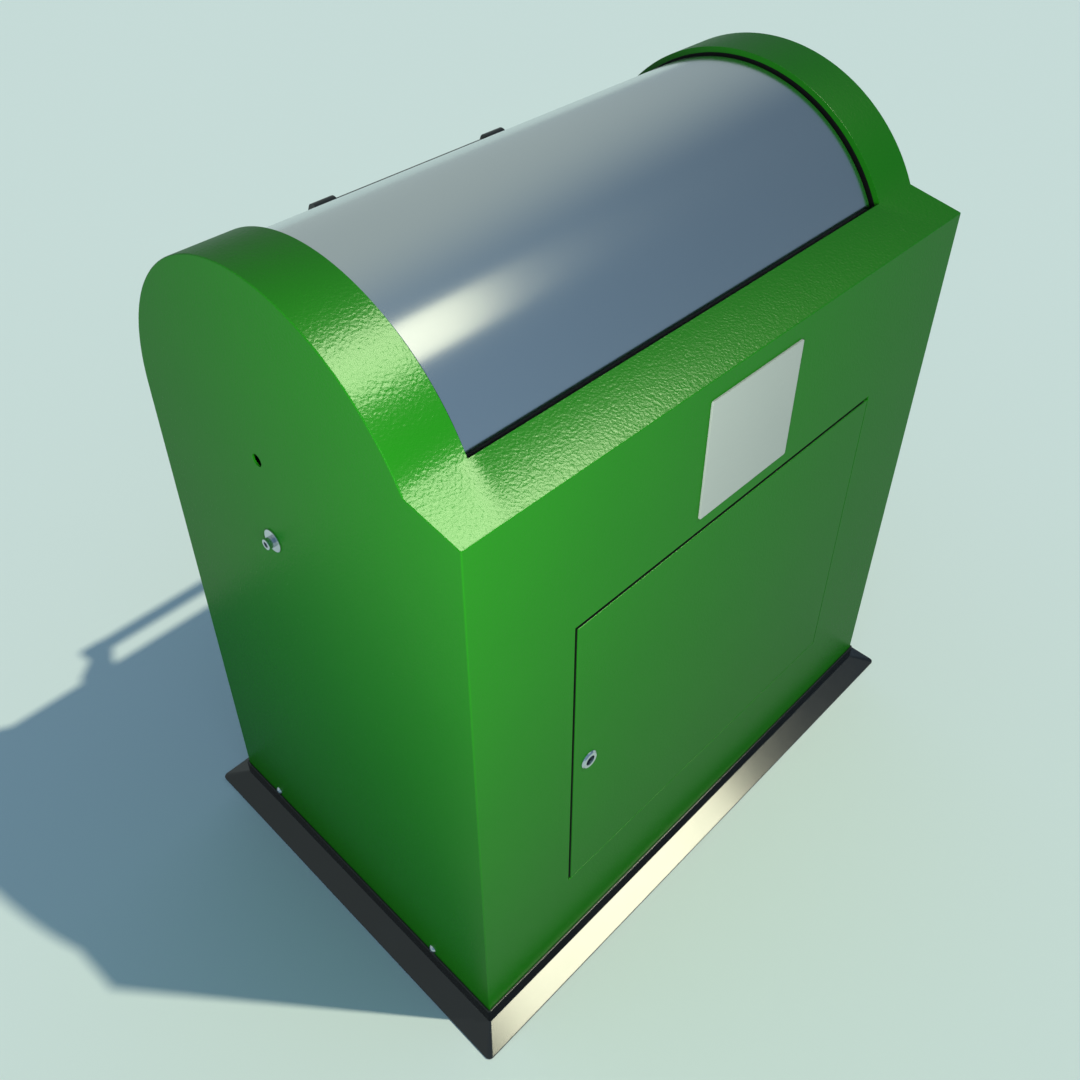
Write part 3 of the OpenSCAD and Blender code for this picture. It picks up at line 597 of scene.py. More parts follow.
def folded(shape: Shape, radius: float, segments: int = 4, least: float = 60.0) -> Shape:
    """Rounds a solid's strong edges to the radius of a sheet-metal fold.

    Args:
        shape: The solid.
        radius: The fold's radius in metres.
        segments: How many faces make it.
        least: The least angle, in degrees, that is folded.

    Returns:
        The rounded solid.
    """
    work = put("folded", shape)
    bevel = work.modifiers.new("fold", "BEVEL")
    bevel.width, bevel.segments, bevel.limit_method = radius, segments, "ANGLE"
    bevel.angle_limit = math.radians(least)
    settle(work)
    made = Shape(work.data)
    discard(work)
    return made


def soften(
    piece: bpy.types.Object, width: float, segments: int = 3, angle: float = 32.0
) -> bpy.types.Object:
    """Rounds a piece's sharp edges and smooths its shading.

    Args:
        piece: The object.
        width: The rounding's width in metres.
        segments: How many faces make the rounding.
        angle: The least angle, in degrees, that counts as an edge.

    Returns:
        The same object.
    """
    bevel = piece.modifiers.new("edge", "BEVEL")
    bevel.width, bevel.segments, bevel.limit_method = width, segments, "ANGLE"
    bevel.angle_limit = math.radians(angle)
    settle(piece)
    for face in piece.data.polygons:
        face.use_smooth = True
    piece.data.set_sharp_from_angle(angle=math.radians(SMOOTH_UP_TO))
    weigh = piece.modifiers.new("weigh", "WEIGHTED_NORMAL")
    weigh.keep_sharp, weigh.weight = True, FLAT_WEIGHT
    return settle(piece)


def dress(
    piece: bpy.types.Object, finish: Finish, body: Body, stands_for: Sequence[str] = ()
) -> bpy.types.Object:
    """Gives a piece its finish and its body.

    Args:
        piece: The finished object, at the origin.
        finish: What its surface is.
        body: The body that it moves with.
        stands_for: CAD nodes that it hides.

    Returns:
        The same object.
    """
    piece.data.materials.clear()
    piece.data.materials.append(finish.material())
    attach(piece, body.value)
    if stands_for:
        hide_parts(*stands_for)
    log.info("%s: %d faces, rides on %s", piece.name, len(piece.data.polygons), body.value)
    return piece


def rounded_copy(node: str, width: float, segments: int, finish: Finish, body: Body) -> bpy.types.Object:
    """Stands in for a CAD node with a copy whose edges are rounded.

    Args:
        node: The CAD node.
        width: The rounding's width in metres.
        segments: How many faces make it.
        finish: The copy's finish.
        body: The body that it moves with.

    Returns:
        The dressed copy.
    """
    piece = put(f"{node}_dressed", Shape(bpy.data.objects[node].data).flat_joined())
    return dress(soften(piece, width, segments), finish, body, (node,))


# Repeated hardware


class Scatter:
    """Repeats one small piece over places, with Geometry Nodes."""

    def __init__(self) -> None:
        """Builds the tree: points in, realised copies out."""
        tree = bpy.data.node_groups.new("repeat_on_places", "GeometryNodeTree")
        self.tree = tree
        face = tree.interface
        face.new_socket("Geometry", in_out="INPUT", socket_type="NodeSocketGeometry")
        self.piece = face.new_socket("Piece", in_out="INPUT", socket_type="NodeSocketObject").identifier
        self.finish = face.new_socket("Finish", in_out="INPUT", socket_type="NodeSocketMaterial").identifier
        face.new_socket("Geometry", in_out="OUTPUT", socket_type="NodeSocketGeometry")
        given = add_node(tree, "NodeGroupInput")
        info = add_node(tree, "GeometryNodeObjectInfo", {"Object": given.outputs["Piece"]})
        turn = add_node(tree, "GeometryNodeInputNamedAttribute", {"Name": "turn"}, data_type="FLOAT_VECTOR")
        copies = add_node(tree, "GeometryNodeInstanceOnPoints", {
            "Points": given.outputs["Geometry"], "Instance": info.outputs["Geometry"],
            "Rotation": turn.outputs["Attribute"]})
        real = add_node(tree, "GeometryNodeRealizeInstances", {"Geometry": copies.outputs["Instances"]})
        coated = add_node(tree, "GeometryNodeSetMaterial", {
            "Geometry": real.outputs["Geometry"], "Material": given.outputs["Finish"]})
        add_node(tree, "NodeGroupOutput", {"Geometry": coated.outputs["Geometry"]})

    def repeat(
        self, node: str, model: bpy.types.Object, places: Sequence[Place], finish: Finish, body: Body
    ) -> None:
        """Stands in for a CAD node with copies of a model, made along +Z at the origin.

        Args:
            node: The CAD node that the copies replace.
            model: The object to copy, which is deleted afterwards.
            places: Each copy's place and the direction that its +Z points.
            finish: The copies' finish.
            body: The body that they move with.
        """
        cloud = bpy.data.meshes.new(node)
        cloud.from_pydata([tuple(at) for at, _ in places], [], [])
        turn = cloud.attributes.new("turn", "FLOAT_VECTOR", "POINT")
        for i, (_, towards) in enumerate(places):
            turn.data[i].vector = towards.to_track_quat("Z", "Y").to_euler()
        piece = put(f"{node}_dressed", cloud)
        step = piece.modifiers.new("repeat", "NODES")
        step.node_group = self.tree
        step[self.piece], step[self.finish] = model, finish.material()
        settle(piece)
        discard(model)
        dress(piece, finish, body, (node,))


def hexagon(across: float) -> list[Point]:
    """A hexagon's corners, from its size across the flats."""
    return arc((0, 0), across / 2 / math.cos(math.pi / 6), 0, 360, 6)[:-1]


@dataclass(frozen=True)
class HexNut:
    """A hexagon nut whose corners are turned down at both ends, standing on z = 0."""

    across: float = 17 * MM
    height: float = 8 * MM
    bore: float = 10 * MM
    turned_share: float = 0.96
    turned_angle: float = 30.0
    reach_share: float = 0.7
    rounding: float = 0.25 * MM
    cone_steps: int = 48
    bore_steps: int = 32

    def model(self) -> bpy.types.Object:
        """Makes the nut from a prism, the cone that turns its corners down, and its bore.

        Returns:
            The nut.
        """
        reach = self.across * self.reach_share
        flat = self.across / 2 * self.turned_share
        drop = (reach - flat) * math.tan(math.radians(self.turned_angle))
        prism = Shape().prism(hexagon(self.across), 0, self.height, "Z")
        cone = Shape().lathe([(0, 0), (flat, 0), (reach, drop), (reach, self.height - drop),
                              (flat, self.height), (0, self.height)], self.cone_steps)
        turned = carve(prism, [cone], keep_common=True)
        above = self.height + OVERRUN
        hole = Shape().lathe([(0, -OVERRUN), (self.bore / 2, -OVERRUN), (self.bore / 2, above),
                              (0, above)], self.bore_steps)
        return soften(put("nut_model", carve(turned, [hole])), self.rounding, segments=1, angle=30)


@dataclass(frozen=True)
class SocketBolt:
    """A bolt with a round head and a hexagon socket; its head stands on z = 0."""

    shank_r: float
    shank_l: float
    head_r: float
    head_h: float
    key: float
    key_d: float
    domed: bool = False
    edge: float = 0.8 * MM
    rounding: float = 0.35 * MM
    steps: int = 48
    dome_steps: int = 10
    edge_steps: int = 4

    def model(self) -> bpy.types.Object:
        """Makes the bolt from a turned profile and its socket.

        Returns:
            The bolt.
        """
        profile: list[Point] = [
            (0, -self.shank_l), (self.shank_r, -self.shank_l), (self.shank_r, 0), (self.head_r, 0)]
        if self.domed:
            ball = (self.head_r**2 + self.head_h**2) / (2 * self.head_h)
            start = math.degrees(math.asin((ball - self.head_h) / ball))
            profile += arc((0, self.head_h - ball), ball, start, 90, self.dome_steps)[1:-1]
        else:
            inner_r, rise = self.head_r - self.edge, self.head_h - self.edge
            profile += arc((inner_r, rise), self.edge, 0, 90, self.edge_steps)
        profile.append((0, self.head_h))
        turned = Shape().lathe(profile, self.steps)
        socket = Shape().prism(hexagon(self.key), self.head_h - self.key_d, self.head_h + OVERRUN, "Z")
        cut = carve(turned, [socket]).flat_joined(degrees=0.2)
        return soften(put("bolt_model", cut), self.rounding, segments=2, angle=35)


@dataclass(frozen=True)
class Washer:
    """A flat washer with rolled edges, standing on z = 0."""

    outer_r: float
    inner_r: float
    height: float
    rounding: float = 0.5 * MM
    steps: int = 72

    def model(self) -> bpy.types.Object:
        """Makes the washer."""
        ring = [(self.inner_r, 0), (self.outer_r, 0),
                (self.outer_r, self.height), (self.inner_r, self.height)]
        return soften(put("washer_model", Shape().lathe(ring, self.steps)), self.rounding)


# Sub-assemblies


@dataclass(frozen=True)
class Sizes:
    """Planes and radii that several sub-assemblies share, in metres, read from the frame."""

    half_width: float
    half_depth: float
    floor_z: float
    case_x: float
    ledge_y: float
    ledge_z: float
    axis_y: float
    axis_z: float
    arch_r: float
    cheek_z: float
    drum_r: float
    drum_x: float
    door: tuple[Vector, Vector]
    lock: Vector
    hinge: Vector
    sheet: float = 3 * MM
    ledge_fall: float = 16.22 * MM
    sill_drop: float = 20 * MM

    @classmethod
    def measured(cls, frame: dict[str, Any]) -> Sizes:
        """Reads the sizes from the CAD nodes' boxes and the joints' places.


        Returns:
            The sizes.
        """
        places = {joint["name"]: Vector(joint["pos_m"]) for joint in frame["joints"]}
        axis = places["drum_turn"]
        _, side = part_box("right_side_panel")
        low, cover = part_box("front_cover")
        band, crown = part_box("right_arch_band")
        cheek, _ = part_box("right_cheek_plate")
        _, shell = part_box("drum_shell")
        return cls(half_width=side.x, half_depth=-low.y, floor_z=low.z, case_x=cheek.x,
                   ledge_y=band.y, ledge_z=cover.z, axis_y=axis.y, axis_z=axis.z,
                   arch_r=crown.z - axis.z, cheek_z=cheek.z, drum_r=shell.z - axis.z, drum_x=shell.x,
                   door=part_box("door_panel"), lock=places["lock_turn"], hinge=places["door_swing"])

    @property
    def shoulder(self) -> float:
        """Height at which the service face folds into the ledge."""
        return self.ledge_z - self.ledge_fall

    @property
    def slope(self) -> float:
        """The ledge's angle above level, in radians."""
        return math.atan2(self.ledge_fall, self.ledge_y + self.half_depth)

    def ledge_under(self, y: float) -> float:
        """Height of the ledge's underside at a depth."""
        top = self.shoulder + (y + self.half_depth) * math.tan(self.slope)
        return top - self.sheet / math.cos(self.slope)

    def from_axis(self, offset: Point) -> Point:
        """Depth and height of a place, from its offset to the drum's axis."""
        return (self.axis_y + offset[0], self.axis_z + offset[1])

    def arch_start(self, radius: float) -> float:
        """Direction, in degrees, in which an arc of this radius meets the ledge's edge."""
        return math.degrees(math.acos((self.ledge_y - self.axis_y) / radius))


@dataclass(frozen=True)
class Housing:
    """The folded and welded green housing, as one body with ground seams.

    The leans are directions of the shading, in degrees above level: where an arch's foot runs
    out, and along the ledge's edge at the drum and at the shoulder.
    """

    sizes: Sizes
    fold: float = 1.8 * MM
    edge: float = 0.5 * MM
    door_gap: Point = (5 * MM, 6.5 * MM)
    close_gap: float = 0.8 * MM
    pin_hole_at: Point = (29.6 * MM, 14 * MM)
    pin_hole_r: float = 9 * MM
    stop_hole_at: Point = (28 * MM, -119 * MM)
    stop_hole_r: float = 5.05 * MM
    screw_insets: Point = (129 * MM, 96 * MM)
    screw_z: float = 54.5 * MM
    screw_hole_r: float = 4.05 * MM
    foot_blend: float = 45 * MM
    foot_lean: float = 53.0
    rear_lean: float = 74.0
    front_lean: float = 66.0
    foot_gain: float = 8.0
    weld_w: float = 30 * MM
    weld_slant: float = 1.2
    weld_start: float = 0.7
    score_rows: int = 8
    score_step: float = 10 * MM
    score_span: tuple[int, int] = (-3, 7)
    level_least: float = 0.95  # a face whose normal rises at least this much counts as level
    shoulder_near: float = 1 * MM  # how far below the shoulder the ledge's faces may start
    arch_near: float = 0.3 * MM  # how far from the arch's radius its facets may lie
    arch_side: float = 0.02  # how far their normals may turn sideways
    arch_steps: int = 120
    case_steps: int = 90
    hole_steps: int = 40

    def finish(self) -> None:
        """Builds and dresses the housing."""
        carved = carve(self.block(), [*self.cavities(), *self.holes()]).flat_joined(degrees=0.3)
        piece = soften(put("housing", self.scored(carved)), self.edge, segments=2, angle=60)
        self.blend_feet(piece)
        dress(piece, COAT, Body.COLUMN, (
            "left_side_panel", "right_side_panel", "front_cover", "rear_panel",
            "left_arch_band", "right_arch_band", "left_cheek_plate", "right_cheek_plate"))

    def block(self) -> Shape:
        """Makes the housing's outside as a solid, with its folds.

        Returns:
            The solid.
        """
        s = self.sizes
        outline = [(-s.half_depth, s.floor_z), (-s.half_depth, s.shoulder)]
        outline += arc((s.axis_y, s.axis_z), s.arch_r, s.arch_start(s.arch_r), 0, self.arch_steps)
        outline += [(s.half_depth, s.floor_z)]
        return folded(Shape().prism(outline, -s.half_width, s.half_width), self.fold)

    def cavities(self) -> list[Shape]:
        """Makes the column's inside, the drum's bay, the two end cases and the door's opening.

        Returns:
            One cutter for each.
        """
        s = self.sizes
        inside_y, inside_x = s.half_depth - s.sheet, s.half_width - s.sheet
        above, under_cheek = s.axis_z + 2 * s.arch_r, s.cheek_z - OVERRUN
        under = [(-inside_y, under_cheek), (-inside_y, s.ledge_under(-inside_y)),
                 (s.ledge_y, s.ledge_under(s.ledge_y))]
        bay = [*under, (s.ledge_y, above), (above, above), (above, s.axis_z - s.sill_drop),
               (inside_y, s.axis_z - s.sill_drop), (inside_y, under_cheek)]
        inner = s.arch_r - s.sheet
        case = [*under, *arc((s.axis_y, s.axis_z), inner, s.arch_start(inner), 0, self.case_steps),
                (inside_y, s.axis_z - OVERRUN), (inside_y, under_cheek)]
        low, high = s.door
        made = [
            Shape().box((-inside_x, -inside_y, -OVERRUN), (inside_x, inside_y, s.cheek_z)),
            Shape().prism(bay, -s.case_x, s.case_x),
            Shape().box((low.x - self.door_gap[0], low.y - OVERRUN, low.z - self.close_gap),
                        (high.x + self.close_gap, low.y + 2 * s.sheet, high.z + self.door_gap[1]))]
        for side in Side:
            ends = sorted((side.value * (s.case_x + s.sheet), side.value * inside_x))
            made.append(Shape().prism(case, *ends))
        return made

    def screw_places(self) -> list[Point]:
        """Places the base screws of a side panel.

        Returns:
            Each screw's depth and height.
        """
        s = self.sizes
        front, rear = self.screw_insets
        return [(-s.half_depth + front, self.screw_z), (s.half_depth - rear, self.screw_z)]

    def hole_places(self) -> list[tuple[float, float, float]]:
        """Places the holes of a side panel.

        Returns:
            Each hole's depth, height and radius.
        """
        return [(*self.sizes.from_axis(self.pin_hole_at), self.pin_hole_r),
                (*self.sizes.from_axis(self.stop_hole_at), self.stop_hole_r),
                *((*at, self.screw_hole_r) for at in self.screw_places())]

    def holes(self) -> list[Shape]:
        """Makes round cutters through both side panels.

        Returns:
            One cutter for each hole.
        """
        s = self.sizes
        return [
            Shape().lathe([(0, -s.sheet), (r, -s.sheet), (r, s.sheet), (0, s.sheet)], self.hole_steps)
            .aimed((side.value * s.half_width, y, z), (side.value, 0, 0))
            for side in Side for y, z, r in self.hole_places()]

    def scored(self, shape: Shape) -> Shape:
        """Splits the ledge's top so that its shading can turn where an arch grows out of it.

        Args:
            shape: The carved housing.

        Returns:
            The same shape.
        """
        s = self.sizes

        def on_ledge(face: bmesh.types.BMFace) -> bool:
            """Says whether a face is the ledge's top."""
            return face.normal.z > self.level_least and face.calc_center_median().y < s.ledge_y

        depth = s.half_depth + s.ledge_y
        rows = [s.ledge_y - depth * i / self.score_rows for i in range(1, self.score_rows)]
        columns = [side.value * (s.case_x + step * self.score_step)
                   for side in Side for step in range(*self.score_span)]
        return shape.scored(1, rows, on_ledge).scored(0, columns, on_ledge)

    def blend_feet(self, piece: bpy.types.Object) -> None:
        """Lets the shading run smoothly through the ground weld between each arch and the ledge.

        Args:
            piece: The housing, whose face corners get new normals near the arches' feet.
        """
        s = self.sizes
        mesh = piece.data
        normals = [Vector(corner.vector) for corner in mesh.corner_normals]
        start = s.arch_start(s.arch_r)
        for face in mesh.polygons:
            centre = Vector(face.center)
            radius = math.hypot(centre.y - s.axis_y, centre.z - s.axis_z)
            level = face.normal.z > self.level_least
            high = centre.z > s.shoulder - self.shoulder_near
            ledge = level and high and centre.y < s.ledge_y
            curved = abs(radius - s.arch_r) < self.arch_near and abs(face.normal.x) < self.arch_side
            arch = curved and centre.z > s.ledge_z
            if not ledge and not arch:
                continue
            for corner in face.loop_indices:
                at = mesh.vertices[mesh.loops[corner].vertex_index].co
                if ledge:
                    share = (at.y + s.half_depth) / (s.half_depth + s.ledge_y)
                    reach = (abs(at.x) - s.case_x) / self.weld_w + self.weld_slant * share
                    weld = min(1.0, max(0.0, reach - self.weld_start))
                    open_lean = self.rear_lean * share + self.front_lean * (1 - share)
                    foot = self.foot_lean + self.foot_gain * (1 - share)
                    lean = open_lean + (foot - open_lean) * weld
                else:
                    turn = math.degrees(math.atan2(at.z - s.axis_z, at.y - s.axis_y))
                    share = 1 - math.radians(start - turn) * s.arch_r / self.foot_blend
                    if share <= 0:
                        continue
                    lean = 180 - turn + (self.foot_lean - 180 + start) * share
                angle = math.radians(lean)
                normals[corner] = Vector((0, -math.cos(angle), math.sin(angle)))
        mesh.normals_split_custom_set(normals)


@dataclass(frozen=True)
class Skirt:
    """The black skirt round the foot."""

    sizes: Sizes
    seat: float = 0.3 * MM
    wall: float = 3 * MM
    rim: float = 3.5 * MM
    slope_z: float = 17 * MM
    edge_h: float = 3 * MM
    foot: float = 6 * MM
    corner_r: float = 8 * MM
    rim_corner_r: float = 3.2 * MM
    rounding: float = 0.7 * MM
    corner_steps: int = 8

    def finish(self) -> None:
        """Sweeps the skirt's section round the housing and dresses it."""
        s = self.sizes
        _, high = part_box("base_skirt")
        out = high.x - s.half_width
        section = [(out, 0.0), (out, self.edge_h), (self.rim, self.slope_z), (self.rim, high.z),
                   (self.seat, high.z), (self.seat, self.slope_z - self.wall), (out - self.foot, 0.0)]
        rings = []
        for reach, z in section:
            radius = self.seat
            if reach > self.seat:
                share = max(0.0, (reach - self.rim) / (out - self.rim))
                radius = self.rim_corner_r + (self.corner_r - self.rim_corner_r) * share
            outline = rounded_corners(
                s.half_width + reach, s.half_depth + reach, radius, self.corner_steps)
            rings.append([(x, y, z) for x, y in outline])
        piece = soften(put("base_skirt_dressed", Shape().loops(rings)), self.rounding, angle=20)
        dress(piece, ENAMEL, Body.COLUMN, ("base_skirt",))


@dataclass(frozen=True)
class Drum:
    """The stainless drum's shell, its handle and the seals that wipe it.

    The shell's turns are in degrees about the axis: where it starts, how far it sweeps, and how
    far its inner face stops short of the hem.
    """

    sizes: Sizes
    start: float = -8.0
    sweep: float = 248.0
    hem_turn: float = 1.2
    steps: int = 248
    inner_steps: int = 246
    wall: float = 2 * MM
    hem: float = 15 * MM
    rounding: float = 0.9 * MM
    seal_r: float = 280.5 * MM
    seal_w: float = 20 * MM
    seal_t: float = 2 * MM
    seal_lip_r: float = 273 * MM
    seal_lip_t: float = 3 * MM
    seal_reach: float = 12.4 * MM
    ledge_reach: float = 3.5 * MM
    ledge_seal_h: float = 12 * MM
    seal_rounding: float = 0.3 * MM
    ledge_seal_rounding: float = 0.8 * MM
    seal_steps: int = 160

    def shell(self) -> Shape:
        """Makes the shell: an open cylinder wall with a hem at its trailing edge.

        Returns:
            The shell.
        """
        s = self.sizes
        centre = (s.axis_y, s.axis_z)
        end = self.start + self.sweep
        inner = s.drum_r - self.wall
        turn = math.radians(end)
        along = Vector((math.cos(turn), math.sin(turn)))
        back = Vector((math.sin(turn), -math.cos(turn)))
        outline = arc(centre, s.drum_r, self.start, end, self.steps)
        for radius, step in ((inner - self.hem, 0.0), (inner - self.hem, self.wall), (inner, self.wall)):
            corner = Vector(centre) + radius * along + step * back
            outline.append((corner.x, corner.y))
        outline += arc(centre, inner, end - self.hem_turn, self.start, self.inner_steps)
        return Shape().prism(outline, -s.drum_x, s.drum_x)

    def seal(self, side: Side) -> None:
        """Builds and dresses the wiping seal between a drum end and its cheek.

        Args:
            side: The drum's end.
        """
        s = self.sizes
        thick, lip = self.seal_t, self.seal_lip_t
        base = [(self.seal_r - self.seal_w, -thick), (self.seal_r - thick / 2, -thick),
                (self.seal_r, 0.0), (self.seal_r - self.seal_w, 0.0)]
        tip = [(self.seal_lip_r - lip, -self.seal_reach), (self.seal_lip_r, -self.seal_reach),
               (self.seal_lip_r, 0.0), (self.seal_lip_r - lip, 0.0)]
        shape = Shape().lathe(base, self.seal_steps).lathe(tip, self.seal_steps)
        piece = put(f"{side.word}_drum_seal_dressed",
                    shape.aimed((side.value * s.case_x, s.axis_y, s.axis_z), (side.value, 0, 0)))
        dress(soften(piece, self.seal_rounding, segments=2), RUBBER, Body.COLUMN,
              (f"{side.word}_drum_seal",))

    def ledge_seal(self) -> None:
        """Builds and dresses the seal under the ledge's edge."""
        s = self.sizes
        tip, root = s.ledge_y + self.ledge_reach, s.ledge_y - self.seal_w
        under = s.ledge_under(s.ledge_y)
        outline = [(root, s.ledge_under(root)), (s.ledge_y, under), (tip, under - self.ledge_reach),
                   (tip, under - self.ledge_seal_h), (root, s.ledge_under(root) - self.ledge_seal_h / 2)]
        piece = put("ledge_seal_dressed", Shape().prism(outline, -s.drum_x, s.drum_x))
        # The ledge seal's brownish grey is painted shade for the soft dark line at the drum
        dress(soften(piece, self.ledge_seal_rounding), SHADE_LINE_RUBBER, Body.COLUMN, ("ledge_seal",))

    def finish(self) -> None:
        """Builds and dresses the shell, its seals and the handle."""
        self.ledge_seal()
        piece = put("drum_shell_dressed", self.shell())
        dress(soften(piece, self.rounding), STAINLESS, Body.DRUM, ("drum_shell",))
        for side in Side:
            rounded_copy(f"{side.word}_handle_bracket", 2.2 * MM, 4, NYLON, Body.DRUM)
            self.seal(side)
        rounded_copy("handle_bar", 1.5 * MM, 3, NYLON, Body.DRUM)


@dataclass(frozen=True)
class ServiceDoor:
    """The door's folded pan, a black strip of painted shade on its free edges, its lock, and the blank plate
    above it.
    """

    sizes: Sizes
    wall: float = 2 * MM
    fold: float = 1.2 * MM
    rounding: float = 0.3 * MM
    barrel_r: float = 11.05 * MM
    barrel_steps: int = 48
    # Sizes of the black strip of painted shade along the door's free edges
    trim: float = 1.6 * MM
    trim_back: float = 1.0 * MM
    trim_depth: float = 9 * MM
    trim_shallow: float = 2.6 * MM
    trim_joint: float = 0.4 * MM
    hinge_clear: float = 8 * MM

    def edge_trim(self) -> None:
        """Builds and dresses a black strip on the door's free edges: painted shade, darkening the gap as its
        own shade would.

        Past the hinge the top strip is shallow, so that it clears the hinge's bush.
        """
        low, high = self.sizes.door
        front, back = low.y + self.trim_back, low.y + self.trim_depth
        shape = Shape().box((low.x - self.trim, front, low.z + self.trim), (low.x, back, high.z))
        stop = self.sizes.hinge.x - self.hinge_clear
        shape.box((low.x, front, high.z), (stop, back, high.z + self.trim))
        shape.box((stop + self.trim_joint, front, high.z),
                  (high.x - self.trim_depth, low.y + self.trim_shallow, high.z + self.trim))
        # The strip is painted shade: black rubber laid where the gap's shade falls
        dress(soften(put("door_edge_trim", shape), self.rounding, segments=2), RUBBER, Body.DOOR)

    def finish(self) -> None:
        """Builds and dresses the door's visible pieces."""
        self.edge_trim()
        low, high = self.sizes.door
        inside = Vector((self.wall, self.wall, self.wall))
        pan = folded(Shape().box(low, high), self.fold)
        hollow = Shape().box(low + inside, (high.x - self.wall, high.y + self.wall, high.z - self.wall))
        lock = (self.sizes.lock.x, low.y, self.sizes.lock.z)
        hole = Shape().lathe([
            (0, -self.wall), (self.barrel_r, -self.wall), (self.barrel_r, 2 * self.wall),
            (0, 2 * self.wall)], self.barrel_steps).aimed(lock, (0, 1, 0))
        piece = put("door_panel_dressed", carve(pan, [hollow, hole]).flat_joined(degrees=0.3))
        soften(piece, self.rounding, segments=2, angle=60)
        dress(piece, COAT, Body.DOOR, ("door_panel",))
        rounded_copy("lock_body", 0.4 * MM, 3, ZINC, Body.DOOR)
        rounded_copy("lock_spindle", 0.4 * MM, 2, ZINC, Body.LOCK)
        rounded_copy("info_plate", 0.4 * MM, 2, PLATE, Body.COLUMN)


@dataclass(frozen=True)
class Hardware:
    """Screws, bolts, washers and nuts in the side panels."""

    sizes: Sizes
    holes: Housing
    nut_h: float = 8 * MM
    buffer_l: float = 18 * MM

    def finish(self) -> None:
        """Builds and dresses the hardware on both sides."""
        s = self.sizes
        scatter = Scatter()
        stop = s.from_axis(self.holes.stop_hole_at)
        _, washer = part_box("stop_washers")
        _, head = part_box("stop_bolts")
        _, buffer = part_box("stop_buffers")
        nuts = (s.half_width - s.sheet - self.nut_h, buffer.x, buffer.x - self.buffer_l - self.nut_h,
                s.case_x + s.sheet)
        base = SocketBolt(shank_r=4 * MM, shank_l=16 * MM, head_r=7 * MM, head_h=4.4 * MM,
                          key=5 * MM, key_d=2.4 * MM, domed=True)
        long = SocketBolt(shank_r=5 * MM, shank_l=washer.x - s.case_x, head_r=8 * MM,
                          head_h=head.x - washer.x, key=8 * MM, key_d=6 * MM)
        flat = Washer(outer_r=17 * MM, inner_r=self.holes.stop_hole_r, height=washer.x - s.half_width)
        rows: list[tuple[str, bpy.types.Object, list[Place]]] = [
            ("base_screws", base.model(), self.both(
                [(s.half_width, *at) for at in self.holes.screw_places()])),
            ("stop_bolts", long.model(), self.both([(washer.x, *stop)])),
            ("stop_washers", flat.model(), self.both([(s.half_width, *stop)])),
            ("stop_nuts", HexNut().model(), self.both([(x, *stop) for x in nuts]))]
        for node, model, places in rows:
            scatter.repeat(node, model, places, ZINC, Body.COLUMN)

    @staticmethod
    def both(places: Sequence[tuple[float, float, float]]) -> list[Place]:
        """Places on the right side, and their mirror images, each pointing outwards."""
        return [(Vector((side.value * x, y, z)), Vector((side.value, 0, 0)))
                for side in Side for x, y, z in places]


CAD_FINISHES: dict[Finish, tuple[str, ...]] = {
    # The door frame's black is painted shade: it makes the gap round the door read dark
    GAP_SHADE_BLACK: ("door_frame",),
    GALVANISED: ("base_frame", "left_bearing_housing", "right_bearing_housing", "drum_edge_bar",
                 "left_stop_lever", "right_stop_lever", "door_stiffeners"),
    RUBBER: ("sill_trim", "stop_buffers", "door_gasket"),
    BRONZE: ("left_bearing_bush", "right_bearing_bush", "door_bushes"),
    IRON: ("left_counterweight", "right_counterweight"),
    STAINLESS: ("left_drum_disc", "right_drum_disc"),
    ZINC: ("bearing_bolts", "bearing_nuts", "left_stub_shaft", "right_stub_shaft", "hub_bolts", "hub_nuts",
           "counterweight_bolts", "counterweight_nuts", "handle_screws", "lever_set_screws",
           "shaft_end_washers", "shaft_end_bolts", "door_pins", "lock_nut", "lock_cam", "cam_screw"),
}


def finish_cad_nodes(nodes: dict[str, bpy.types.Object]) -> None:
    """Gives each CAD node that stays its own finish.

    Args:
        nodes: The CAD nodes by name.
    """
    for finish, names in CAD_FINISHES.items():
        for name in names:
            nodes[name].data.materials.clear()
            nodes[name].data.materials.append(finish.material())


# Surroundings


def dressed_pieces() -> list[bpy.types.Object]:
    """Every mesh with a material, except the floor."""
    return [piece for piece in bpy.context.scene.collection.all_objects
            if piece.type == "MESH" and piece.data.materials and piece.name != "floor"]


def soft_box(
    name: str, power: float, colour: Sequence[float], size: Point, pose: Matrix
) -> bpy.types.Object:
    """Adds a rectangular soft box.

    Args:
        name: The light's name.
        power: Its power in watts.
        colour: Its linear colour.
        size: Its width and height in metres.
        pose: Its place; it shines along its own -Z.

    Returns:
        The light's object.
    """
    data = bpy.data.lights.new(name, "AREA")
    data.shape, data.energy, data.color = "RECTANGLE", power, colour
    data.size, data.size_y = size
    made = bpy.data.objects.new(name, data)
    made.matrix_world = pose
    made.visible_camera = False
    bpy.context.scene.collection.objects.link(made)
    return made


def lit_only(light: bpy.types.Object, pieces: Iterable[bpy.types.Object]) -> None:
    """Lets a light reach some pieces alone.

    Args:
        light: The light.
        pieces: The pieces that it reaches.
    """
    reached = bpy.data.collections.new(light.name)
    for piece in pieces:
        reached.objects.link(piece)
    light.light_linking.receiver_collection = reached


